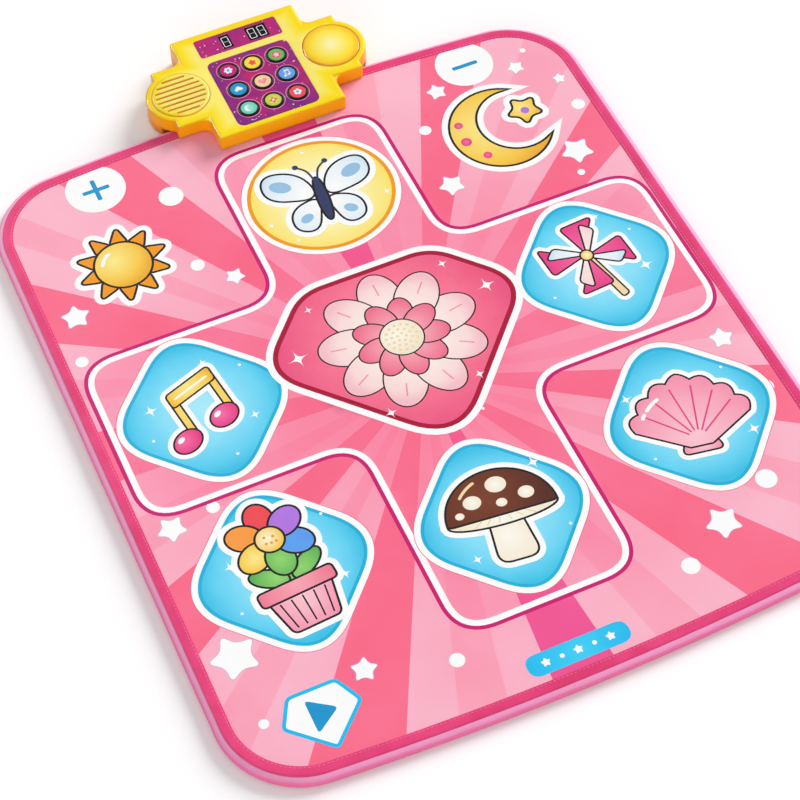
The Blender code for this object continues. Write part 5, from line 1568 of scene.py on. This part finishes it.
# Painted shade: faces that turn away from straight up take a deeper orange.
facing = yellow.split(yellow.coordinates.outputs["Normal"])[2]
side_stops = [(0.45, (1, 1, 1, 1)), (0.75, (0.5, 0.5, 0.5, 1)), (0.95, (0, 0, 0, 1))]
side_shade_share = yellow.ramp(facing, side_stops)
painted_side_shade = yellow.tones(yellow.noise(18.0), (252, 166, 0), (255, 178, 4))
yellow.colour(yellow.mix(side_shade_share, face_colour, painted_side_shade))
yellow.relief(yellow.noise(500.0, 2.0), 0.00002, 0.5)


def rim_rise(distance, reach):
    """1 well inside a rim, falling in a curve to 0 at the rim itself."""
    near = yellow.maths("MINIMUM", yellow.maths("MAXIMUM", distance, 0.0), reach)
    short = yellow.maths("SUBTRACT", 1.0, yellow.maths("DIVIDE", near, reach))
    return yellow.maths("SUBTRACT", 1.0, yellow.maths("MULTIPLY", short, short))


slot_phase = yellow.maths("FRACT", yellow.maths("MULTIPLY", y, 1 / SLOT_PITCH))
from_slot = yellow.maths("ABSOLUTE", yellow.maths("SUBTRACT", slot_phase, 0.5))
from_slot = yellow.maths("MULTIPLY_ADD", from_slot, SLOT_PITCH, -SLOT_WIDTH / 2)
on_rib = yellow.maths("MAXIMUM", rim_rise(from_slot, reach=0.0020), off_grille)
yellow.relief(on_rib, distance=0.0011)
yellow.relief(rim_rise(inset, reach=0.0045), distance=0.0018)
yellow.relief(rim_rise(from_ring, reach=0.0022), distance=0.0008)
print("shell finish:", len(yellow.tree.nodes), "nodes")

# %% Shell and base
shell = rounded_copy(
    "shell_cover", "console_shell",
    lambda p: p.z > SHELL_RIM_Z and console_inset(p.x, p.y) < RIM_REACH,
)
shell.data.materials.clear()
shell.data.materials.append(yellow.material)
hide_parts("console_shell")
base_finish = moulded("base_gloss", (255, 166, 6), (248, 150, 0), 0.35, Specular_IOR_Level=0.2)
base = rounded_copy(
    "base_tray", "console_base",
    lambda p: p.z < BASE_RIM_Z and console_inset(p.x, p.y) < RIM_REACH,
)
base.data.materials.clear()
base.data.materials.append(base_finish.material)
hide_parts("console_base")
finished("battery_door", base_finish)

# %% [markdown]
# ## Labels
# Two glossy films are stuck into recesses of the shell: one round the display windows, one round
# the keys. They are cut like the print, in millimetres about the console's middle, with clouds of
# purple and magenta ink, white specks, and a pink ring printed round every key.

# %% Label films
LABEL_TOP_Z = 0.0359
LABEL_THICKNESS = 0.0004
KEY_PITCH_MM = (34.4, 36.9)
KEY_MIDDLE_MM = (0, -22.3)
KEY_HOLE_MM = 14.6
LABEL_MARGIN_MM = 0.15
KEY_RING_MM, KEY_RING_INNER_MM, KEY_CLEAR_MM = 16.0, 15.1, 18.5
WINDOW_GAP_MM, WINDOW_CLEAR_MM = 0.3, 4
SPECK_SCALE, SPECK_RADIUS, SPECK_CHANCE = 210.0, 0.13, 0.7
FADE_START = 0.045
MODULES = ("level_digit", "score_digits")
KEYS = [
    (KEY_MIDDLE_MM[0] + across * KEY_PITCH_MM[0], KEY_MIDDLE_MM[1] + up * KEY_PITCH_MM[1])
    for up in (1, 0, -1) for across in (-1, 0, 1)
]
KEY_PLACES = [(x / 1000, CONSOLE_Y + y / 1000) for x, y in KEYS]


def label_film(name, stops, fade):
    """A cloudy film. With a fade, its tone also changes from the keypad's middle outwards."""
    finish = Finish(
        name, roughness=0.3, Specular_IOR_Level=0.2, Coat_Weight=0.14, Coat_Roughness=0.08
    )
    clouds = finish.noise(26.0, 4.0, roughness=0.6)
    away = finish.length(finish.place(offset=(0, -CONSOLE_Y - KEYS[4][1] / 1000, 0)))
    nearness = finish.maths("SUBTRACT", FADE_START, away)
    colour = finish.shades(finish.maths("MULTIPLY_ADD", nearness, fade, clouds), stops)
    inputs = {"Vector": finish.coordinates.outputs["Object"], "Scale": SPECK_SCALE}
    cells = finish.node("TexVoronoi", inputs)
    chance = finish.node("SeparateColor", {0: cells.outputs["Color"]}).outputs[0]
    near = finish.maths("LESS_THAN", cells.outputs["Distance"], SPECK_RADIUS)
    speck = finish.maths("MULTIPLY", near, finish.maths("GREATER_THAN", chance, SPECK_CHANCE))
    finish.colour(finish.mix(speck, colour, paint(250, 214, 244)))
    INKS[name] = finish.material


purples = [(0.3, (112, 24, 126)), (0.5, (160, 18, 114)), (0.7, (200, 20, 100))]
label_film("label_film", purples, fade=3.4)
purples = [(0.3, (146, 18, 118)), (0.5, (178, 18, 116)), (0.7, (206, 22, 110))]
label_film("window_film", purples, fade=0.0)
key_ring = Finish("key_ring_ink", roughness=0.25, Coat_Weight=0.3)
key_ring.clouded(120.0, 2.0, (250, 120, 190), (252, 160, 210))
INKS["key_ring"] = key_ring.material


def cut_label(name, node, corner_mm, holes, extras, film):
    outline = box_outline(*plan_box(node, CONSOLE_Y, -LABEL_MARGIN_MM), corner_mm)
    shapes = [shape(outline, film), *extras, *[shape(h, None) for h in holes]]
    obj = add_piece(printed(name, shapes, flat_at(CONSOLE_Y, LABEL_TOP_Z)))
    thickened(obj, LABEL_THICKNESS)
    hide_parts(node)


def scattered(count, span_x, span_y, largest, is_free):
    """White glints at random places, where there is room."""
    made = []
    for _ in range(count):
        x, y = random.uniform(*span_x), random.uniform(*span_y)
        if is_free(x, y):
            made.append(shape(sparkle(x, y, random.uniform(0.8, largest)), "white"))
    return made


def clear_of_keys(x, y):
    return all(math.dist((x, y), key) > KEY_CLEAR_MM for key in KEYS)


def clear_of_windows(x, y):
    boxes = [plan_box(node, CONSOLE_Y, WINDOW_CLEAR_MM) for node in MODULES]
    return all(not (left < x < right and low < y < high) for left, low, right, high in boxes)


rings, gaps, holes = (
    [ellipse(x, y, radius, radius, steps=64) for x, y in KEYS]
    for radius in (KEY_RING_MM, KEY_RING_INNER_MM, KEY_HOLE_MM)
)
rings = [shape(ring, "key_ring") for ring in rings] + [shape(gap, "label_film") for gap in gaps]
random.seed(11)
flecks = scattered(70, (-54, 54), (-82, 35), 1.9, clear_of_keys)
cut_label("key_label", "keypad_label", 10, holes, rings + flecks, "label_film")

flecks = scattered(26, (-55, 55), (52, 81), 1.8, clear_of_windows)
holes = [box_outline(*plan_box(node, CONSOLE_Y, WINDOW_GAP_MM)) for node in MODULES]
cut_label("window_label", "display_label", 4, holes, flecks, "window_film")
print("labels: 2 films,", len(KEYS), "holes and", len(MODULES), "windows")

# %% [markdown]
# ## Digits
# Behind the windows are black modules whose numbers are made of seven bars. Each bar is a long
# hexagon. One bar's shape serves all, turned and moved to seven places for every digit.

# %% Seven-segment digits
DIGIT_FACE_Z = 0.03492
FACE_MARGIN_MM = 0.2
PAIR_SHIFT_MM = 0.3  # two digits stand a little nearer to each other
BAR_LENGTH_MM, BAR_WIDTH_MM, DIGIT_WIDTH_MM, DIGIT_HEIGHT_MM = 8.6, 1.0, 8.6, 17.6
INKS["bar_lit"] = moulded("bar_lit", (250, 250, 252), (232, 234, 240), 0.35).material
INKS["bar_dim"] = moulded("bar_dim", (178, 180, 188), (150, 152, 160), 0.35).material
module_face = moulded("module_face", (16, 14, 18), (8, 8, 10), 0.3, Specular_IOR_Level=0.1)
INKS["module_face"] = module_face.material


def digit(x, y):
    tip, half = BAR_LENGTH_MM / 2, BAR_WIDTH_MM / 2
    bar = [(-tip, 0), (-tip + half, -half), (tip - half, -half),
           (tip, 0), (tip - half, half), (-tip + half, half)]
    across, quarter = DIGIT_WIDTH_MM / 2, DIGIT_HEIGHT_MM / 4
    places = [(0, 2 * quarter, 0), (0, 0, 0), (0, -2 * quarter, 0)]
    places += [(side * across, row * quarter, 90) for side in (-1, 1) for row in (-1, 1)]
    made = []
    for px, py, turn in places:
        ink = "bar_dim" if (px, py) == (0, 0) else "bar_lit"
        made.append(shape(moved(bar, x + px, y + py, turn), ink))
    return made


for name, node, count in (("level_face", "level_digit", 1), ("score_face", "score_digits", 2)):
    left, low, right, high = plan_box(node, CONSOLE_Y)
    shapes = [shape(box_outline(*plan_box(node, CONSOLE_Y, -FACE_MARGIN_MM)), "module_face")]
    for i in range(count):
        shift = (PAIR_SHIFT_MM if count > 1 else 0) * (1 - 2 * i)
        middle = left + (right - left) * (i + 0.5) / count + shift
        shapes += digit(middle, (low + high) / 2)
    face = add_piece(printed(name, shapes, flat_at(CONSOLE_Y, DIGIT_FACE_Z)))
print("digits ready")

# %% [markdown]
# ## Keys
# Each key is a black cap with a low rim and a shallow dish, and a round picture is printed in the
# dish. A cap is a turned shape, and one profile serves all nine places. The pictures are small and
# plain: a flower, a heart, a note and such.

# %% Key caps
KEY_RADIUS, KEY_DISH_RADIUS, KEY_TOP_Z, KEY_DISH_Z = 0.0139, 0.0109, 0.0372, 0.0367
PRINT_LIFT = 0.00006
key_low, key_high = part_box("mode_button_1")
KEY_LOW_Z, KEY_FLANGE_Z, KEY_FLANGE = key_low.z, 0.0338, (key_high.x - key_low.x) / 2
cap_finish = moulded("key_black", (18, 16, 18), (9, 8, 10), 0.4, Specular_IOR_Level=0.12)
CAP_PROFILE = (
    (0, KEY_DISH_Z), (KEY_DISH_RADIUS - 0.0003, KEY_DISH_Z), (KEY_DISH_RADIUS, KEY_DISH_Z + 0.0001),
    (0.0112, KEY_TOP_Z - 0.00012), (0.0115, KEY_TOP_Z), (0.0127, KEY_TOP_Z),
    (0.0134, KEY_TOP_Z - 0.0002), (0.0138, KEY_TOP_Z - 0.0007), (KEY_RADIUS, KEY_TOP_Z - 0.0013),
    (KEY_RADIUS, KEY_FLANGE_Z), (KEY_FLANGE, KEY_FLANGE_Z), (KEY_FLANGE, KEY_FLANGE_Z - 0.0010),
    (0.0045, KEY_FLANGE_Z - 0.0010), (0.0045, KEY_LOW_Z), (0, KEY_LOW_Z),
)
print("key from", KEY_LOW_Z, "to", KEY_TOP_Z)


# %% Key pictures
KEY_INKS = ("magenta", "lemon", "leaf", "glyph_blue", "peach", "blue", "mint", "lime", "red")
DISH_PRINT_MM = 10.7


def key_art(index):
    """The picture of one key, as printed areas inside a circle that fills its dish."""
    disc = ellipse(0, 0, DISH_PRINT_MM, DISH_PRINT_MM, steps=48)
    sixths = [math.pi * k / 3 for k in range(6)]
    fifths = [2 * math.pi * k / 5 for k in range(5)]
    petals = [
        ellipse(3.6 * math.cos(a), 3.6 * math.sin(a), 2.5, 2.0, math.degrees(a), 16) for a in sixths
    ]
    dots = [ellipse(3.4 * math.cos(a), 3.4 * math.sin(a), 2.3, 2.3, steps=14) for a in fifths]
    stems = [
        box_outline(-2.6, -3, -1.3, 5.5), box_outline(3.0, -2, 4.3, 6.5),
        box_outline(-2.6, 3.8, 4.3, 6.5),
    ]
    heads = [ellipse(x, y, 2.3, 1.7, 20, 16) for x, y in ((-3.2, -3.6), (2.4, -2.6))]
    middle = ellipse(0, 0, 2, 2, steps=14)
    pictures = (
        [shape(p, "ice", (0, 0), 7) for p in petals]
        + [shape(ellipse(0, 0, 2.2, 2.2, steps=16), "blue")],
        [shape(star(0, 0, 6.6, 8), "red", (0, 0), 7)],
        [shape(ellipse(0, 0, 6.2, 6.2, steps=28), "red", (-1, 2), 6),
         shape(star(0, 0, 5.2, 0), "ice")],
        [shape(cluster([(-3, -1, 2.6), (0, 1.4, 3.3), (3.2, -0.6, 2.7)], 40), "ice", (0, 0), 6)],
        [shape(heart(0, 0, 6.4), "rose", (-1, 2), 8)],
        [shape(outline, "cream") for outline in stems + heads],
        [shape(arc(0, 0, 6, 60, 300, 20) + arc(2.6, 0, 4.7, 285, 75, 16), "ice", (-2, 0), 6)],
        [shape(star(0, 0, 7, 0, 0.4, 0.3, 4), "red", (0, 0), 7), shape(middle, "cream")],
        [shape(dot, "ice", (0, 0), 6) for dot in dots] + [shape(middle, "blue")],
    )
    return [shape(disc, KEY_INKS[index], (0, 0), DISH_PRINT_MM), *pictures[index]]


for index, (x, y) in enumerate(KEYS):
    body = f"mode_button_{index + 1}"
    name = f"key_cap_{index + 1}"
    cap_mesh = turned_at(name, CAP_PROFILE, 64, KEY_PLACES[index], cap_finish.material)
    cap = add_piece(cap_mesh, body)
    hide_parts(body)
    name = f"key_face_{index + 1}"
    art = placed(key_art(index), x, y)
    face = add_piece(printed(name, art, flat_at(CONSOLE_Y, KEY_DISH_Z + PRINT_LIFT)), body)
print("keys:", len(KEYS))

# %% [markdown]
# ## Round button and speaker slots
# The large round button is a shallow dome, painted paler in the middle as a painted highlight and
# deeper at the rim as painted shade. It is turned like the keys. In each slot of the grille lies an
# amber bar just below the face, as painted shade for the slot's depth.

# %% Round button
round_low, round_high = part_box("round_button")
ROUND_X, ROUND_Y = (round_low.x + round_high.x) / 2, (round_low.y + round_high.y) / 2
ROUND_RADIUS, ROUND_RIM_Z, ROUND_CROWN_Z = 0.0380, 0.0372, round_high.z
CAP_WALL = 0.0018
FLANGE_RADIUS, FLANGE_Z, FLANGE_LOW_Z = 0.0400, 0.0338, 0.0328
STEM_RADIUS, STEM_LOW_Z = 0.0045, round_low.z
dome = []
for i in range(17):
    share = i / 16
    dome.append((0.0362 * share, ROUND_RIM_Z + (ROUND_CROWN_Z - ROUND_RIM_Z) * (1 - share ** 2)))
ROUND_PROFILE = dome + [
    (0.0370, 0.03700), (0.0376, 0.03655), (ROUND_RADIUS, 0.0359), (ROUND_RADIUS, FLANGE_Z),
    (FLANGE_RADIUS, FLANGE_Z), (FLANGE_RADIUS, FLANGE_LOW_Z),
    (ROUND_RADIUS - CAP_WALL, FLANGE_LOW_Z), (ROUND_RADIUS - CAP_WALL, ROUND_RIM_Z - CAP_WALL),
    (STEM_RADIUS, ROUND_RIM_Z - CAP_WALL), (STEM_RADIUS, STEM_LOW_Z), (0, STEM_LOW_Z),
]
round_finish = Finish(
    "round_cap_gloss", roughness=0.3, Specular_IOR_Level=0.2, Coat_Weight=0.35, Coat_Roughness=0.05
)
away = round_finish.length(round_finish.place(offset=(-ROUND_X, -ROUND_Y, -ROUND_RIM_Z)))
away = round_finish.maths("MULTIPLY", away, 1 / ROUND_RADIUS)
away = round_finish.drifting(away, 30.0, 0.04)
# Painted highlight and shade: pale in the middle, deeper amber at the rim.
round_finish.colour(round_finish.shades(away, [
    (0.0, (255, 246, 196)), (0.42, (255, 238, 110)), (0.78, (255, 222, 14)), (0.95, (252, 196, 4)),
    (0.985, (240, 158, 4)),
]))
round_mesh = turned_at("round_cap", ROUND_PROFILE, 96, (ROUND_X, ROUND_Y), round_finish.material)
round_cap = add_piece(round_mesh, "round_button")
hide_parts("round_button")
print("round button at", round(ROUND_X, 4), round(ROUND_Y, 4))

# %% Amber bars in the grille's slots, as painted shade
GRILLE_X_MM = -ROUND_X * 1000
SLOT_SHADE_Z, SLOT_SHADE_THICKNESS = 0.0366, 0.0022
BAR_END_GAP_MM, BAR_SIDE_GAP_MM = 0.05, 0.04
# The bars are painted shade: they stand for the dark inside of each slot.
slot_shade_finish = moulded("grille_amber", (222, 138, 26), (200, 112, 12), 0.4)
INKS["grille_amber"] = slot_shade_finish.material
bars = []
for i in range(SLOT_COUNT):
    y = (i - (SLOT_COUNT - 1) / 2) * SLOT_PITCH * 1000
    reach = math.sqrt((SLOT_REACH * 1000) ** 2 - y * y) - BAR_END_GAP_MM
    half = SLOT_WIDTH * 500 - BAR_SIDE_GAP_MM
    bar = moved(box_outline(-reach, -half, reach, half, half), GRILLE_X_MM, y)
    bars.append(shape(bar, "grille_amber"))
slot_bars = add_piece(printed("slot_bars", bars, flat_at(CONSOLE_Y, SLOT_SHADE_Z)))
thickened(slot_bars, SLOT_SHADE_THICKNESS)
print("slot bars:", SLOT_COUNT)

# %% [markdown]
# ## Small hardware
# Screws, springs and contacts are bright steel, which is a metal shader with a fine, stretched
# scratch pattern. Every screw head gets a painted shade for its cross recess: one dark plus shape,
# set out on the heads by the pattern builder. Feet and the slider are black and matt.

# %% Steel
def metal(name, light, dark, roughness=0.32):
    finish = Finish(name, roughness=roughness, metallic=1.0)
    scratches = finish.noise(60.0, 4.0, finish.place((1.0, 14.0, 1.0)))
    finish.colour(finish.tones(scratches, dark, light))
    finish.relief(scratches, 0.00003, 0.5)
    return finish


steel = metal("bright_steel", (206, 208, 214), (164, 166, 174))
STEEL_NODES = (
    "housing_screw", "retainer_screw", "battery_spring", "battery_plate", "battery_door_screw",
)
for node in frame["nodes"]:
    if node.startswith(STEEL_NODES):
        finished(node, steel)
zinc = metal("magnet_zinc", (176, 180, 190), (140, 144, 154), 0.45)
for node in ("speaker_frame", "speaker_magnet"):
    finished(node, zinc)
print("steel and zinc ready")

# %% Painted shade for the cross recesses in the screw heads
PLUS_REACH, PLUS_HALF_WIDTH, PLUS_HEIGHT = 0.0017, 0.0004, 0.0001
PLUS_SINK = 0.00004  # how far its underside lies below the head


def plus_mesh():
    """A flat plus with its underside at 0."""
    a, b = PLUS_REACH, PLUS_HALF_WIDTH
    points = [
        (a, -b), (a, b), (b, b), (b, a), (-b, a), (-b, b),
        (-a, b), (-a, -b), (-b, -b), (-b, -a), (b, -a), (b, -b),
    ]
    whole = bmesh.new()
    low = [whole.verts.new((x, y, 0)) for x, y in points]
    high = [whole.verts.new((x, y, PLUS_HEIGHT)) for x, y in points]
    whole.faces.new(low[::-1])
    whole.faces.new(high)
    for i in range(12):
        whole.faces.new((low[i - 1], low[i], high[i], high[i - 1]))
    mesh = bpy.data.meshes.new("plus")
    whole.to_mesh(mesh)
    whole.free()
    return mesh


# Painted shade: a dark plus on each screw head stands for the shadow in its cross recess.
recess_shade_finish = moulded("recess_shadow", (46, 46, 50), (30, 30, 34), 0.6)


def recess_shades(name, nodes, body=ROOT):
    heads = []
    for node in nodes:
        low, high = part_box(node)
        heads.append(((low.x + high.x) / 2, (low.y + high.y) / 2, low.z - PLUS_SINK))
    plus = bpy.data.objects.new("plus", plus_mesh())
    crosses = Pattern(name, size=1.0)
    one = crosses.node("GeometryNodeObjectInfo", {"Object": plus}).outputs["Geometry"]
    inputs = {"Points": crosses.given["Geometry"], "Instance": one, "Scale": crosses.given["size"]}
    spread = crosses.node("GeometryNodeInstanceOnPoints", inputs).outputs[0]
    mesh = crosses.grown(name, point_mesh(heads), spread, recess_shade_finish.material)
    bpy.data.objects.remove(plus)
    piece = add_piece(mesh, body)


screws = [n for n in frame["nodes"] if n.startswith(("housing_screw", "retainer_screw"))]
recess_shades("screw_recesses", screws)
recess_shades("door_screw_recess", ["battery_door_screw"], "battery_door")
print("screws:", len(screws) + 1)

# %% Rubber, slider and black parts
rubber = Finish("foot_rubber", roughness=0.75, Specular_IOR_Level=0.3)
rubber.clouded(300.0, 4.0, (34, 33, 35), (52, 50, 54))
rubber.relief(rubber.noise(1500.0, 2.0), 0.00003)
for i in range(1, 5):
    finished(f"rubber_foot_{i}", rubber)
black = moulded("black_moulding", (40, 38, 42), (24, 23, 26), 0.42)
for node in (
    "power_slider", "power_switch_body", "retainer_plate", "speaker_clamp", "tail_connector",
    "round_button_switch", "level_digit", "score_digits",
):
    finished(node, black)
for node in ("power_slider", "retainer_plate"):
    eased(node)
print("black and rubber parts ready")

# %% [markdown]
# ## Inside the console and the mat
# These parts show when the object is opened or cut away. The board has copper tracks under green
# varnish, the films have printed silver tracks, the cone is black paper, and the cells have a
# plain two-coloured skin.

# %% Board and films
def tracks(finish, pitch, width):
    """Parallel lines across and along, each broken up by noise, as 0 or 1."""
    lines = []
    parts = finish.split()
    for axis, seed in ((0, 3.0), (1, 7.0)):
        cell = finish.maths("FRACT", finish.maths("MULTIPLY", parts[axis], 1 / pitch))
        line = finish.maths("LESS_THAN", cell, width / pitch)
        gate = finish.maths("GREATER_THAN", finish.noise(28.0 + seed * 4, 1.0), 0.53)
        lines.append(finish.maths("MULTIPLY", line, gate))
    return finish.maths("MAXIMUM", *lines)


board = Finish("board_varnish", roughness=0.3, Coat_Weight=0.4, Coat_Roughness=0.15)
copper = tracks(board, 0.0026, 0.0007)
green = board.tones(board.noise(40.0, 2.0), (18, 92, 48), (26, 112, 60))
board.colour(board.mix(copper, green, paint(60, 150, 84)))
finished("circuit_board", board)
film = Finish("film_with_tracks", roughness=0.2, Specular_IOR_Level=0.5)
silver = tracks(film, 0.0240, 0.0012)
clear = film.tones(film.noise(12.0, 2.0), (206, 216, 214), (222, 230, 228))
film.colour(film.mix(silver, clear, paint(150, 156, 160)))
for node in ("lower_sensor_film", "upper_sensor_film", "sensor_tail"):
    finished(node, film)
print("board and films ready")

# %% [markdown]
# Two soft parts give way when a key is pressed: the rubber dome under it, and the coil spring of
# the round button. Each is its own piece, with a mesh of its own.

# %% Keypad and its domes
silicone = Finish("key_silicone", roughness=0.6)
silicone.clouded(80.0, 3.0, (142, 144, 150), (166, 168, 174))
INKS["key_silicone"] = silicone.material
PAD_THICKNESS, DOME_RADIUS, DOME_CROWN, KEY_TRAVEL = 0.0010, 0.0055, 0.0038, 0.0010
DOME_EDGE, DOME_SUNK = 0.0006, 0.0004  # its crown's curve, and its foot's depth in the sheet
pad_low, pad_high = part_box("rubber_keypad")
pad_top = pad_low.z + PAD_THICKNESS
pad_shape = shape(box_outline(*plan_box("rubber_keypad", CONSOLE_Y), 4), "key_silicone")
keypad = add_piece(printed("keypad_sheet", [pad_shape], flat_at(CONSOLE_Y, pad_top)))
thickened(keypad, PAD_THICKNESS)
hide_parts("rubber_keypad")
dome_profile = [(0, pad_high.z)]
for k in range(5):
    angle = math.radians(22.5 * k)
    reach = DOME_CROWN - DOME_EDGE + DOME_EDGE * math.sin(angle)
    dome_profile.append((reach, pad_high.z - DOME_EDGE * (1 - math.cos(angle))))
dome_profile += [
    (DOME_RADIUS - 0.0002, pad_top + 0.0002), (DOME_RADIUS, pad_top - DOME_SUNK),
    (0, pad_top - DOME_SUNK),
]
for index, place in enumerate(KEY_PLACES):
    name = f"keypad_dome_{index + 1}"
    one_dome = add_piece(turned_at(name, dome_profile, 32, place, silicone.material))
    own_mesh(one_dome)
print("domes:", len(KEYS), "of height", round(pad_high.z - pad_top, 4))

# %% Coil spring of the round button
SPRING_RADIUS, SPRING_WIRE, SPRING_TURNS, ROUND_TRAVEL = 0.0090, 0.0005, 5, 0.0025
spring_low, spring_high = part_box("round_button_spring")
coil_path = []
for i in range(SPRING_TURNS * 24 + 1):
    share = i / (SPRING_TURNS * 24)
    angle = 2 * math.pi * SPRING_TURNS * share
    rise = SPRING_WIRE + (spring_high.z - spring_low.z - 2 * SPRING_WIRE) * share
    x, y = ROUND_X + SPRING_RADIUS * math.cos(angle), ROUND_Y + SPRING_RADIUS * math.sin(angle)
    coil_path.append((x, y, spring_low.z + rise))
coil = Pattern("return_spring", wire=SPRING_WIRE)
line = coil.node("GeometryNodeMeshToCurve", {"Mesh": coil.given["Geometry"]}).outputs[0]
inputs = {"Resolution": 10, "Radius": coil.given["wire"]}
ring = coil.node("GeometryNodeCurvePrimitiveCircle", inputs).outputs[0]
inputs = {"Curve": line, "Profile Curve": ring, "Fill Caps": True}
tube = coil.node("GeometryNodeCurveToMesh", inputs).outputs[0]
wire_path = path_mesh(coil_path, closed=False)
spring = add_piece(coil.grown("return_spring", wire_path, tube, steel.material))
spring.data.shade_smooth()
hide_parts("round_button_spring")
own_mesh(spring)
print("spring:", len(spring.data.polygons), "faces,", SPRING_TURNS, "turns")

# %% Cone and cells
cone_paper = Finish("cone_paper", roughness=0.9, Specular_IOR_Level=0.15)
fibres = cone_paper.noise(500.0, 5.0)
cone_paper.colour(cone_paper.tones(fibres, (34, 32, 32), (62, 58, 56)))
cone_paper.relief(fibres, 0.00006)
finished("speaker_cone", cone_paper)
CELL_BANDS = (
    (0.0, (190, 192, 198)), (0.03, (40, 44, 60)), (0.68, (206, 120, 48)), (0.95, (196, 198, 204)),
)
for i in range(1, 4):
    low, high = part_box(f"battery_cell_{i}")
    skin = Finish(f"cell_skin_{i}", roughness=0.25, Coat_Weight=0.4)
    along = skin.maths("DIVIDE", skin.maths("SUBTRACT", skin.split()[1], low.y), high.y - low.y)
    if i == 2:  # the middle cell lies the other way round
        along = skin.maths("SUBTRACT", 1.0, along)
    skin.colour(skin.mottled(skin.shades(along, CELL_BANDS, "CONSTANT"), 90.0, 0.2))
    finished(f"battery_cell_{i}", skin)
first_slots = {material["slot"] for material in frame["record"]["materials"]}
plain = []
for name, node in frame["nodes"].items():
    names = [slot.material.name for slot in node.material_slots]
    if not node.hide_render and first_slots.issuperset(names):
        plain.append(name)
print("nodes without a finish:", plain)

# %% [markdown]
# ## Last step
# The json module is imported here once more.

# %% Import
import json
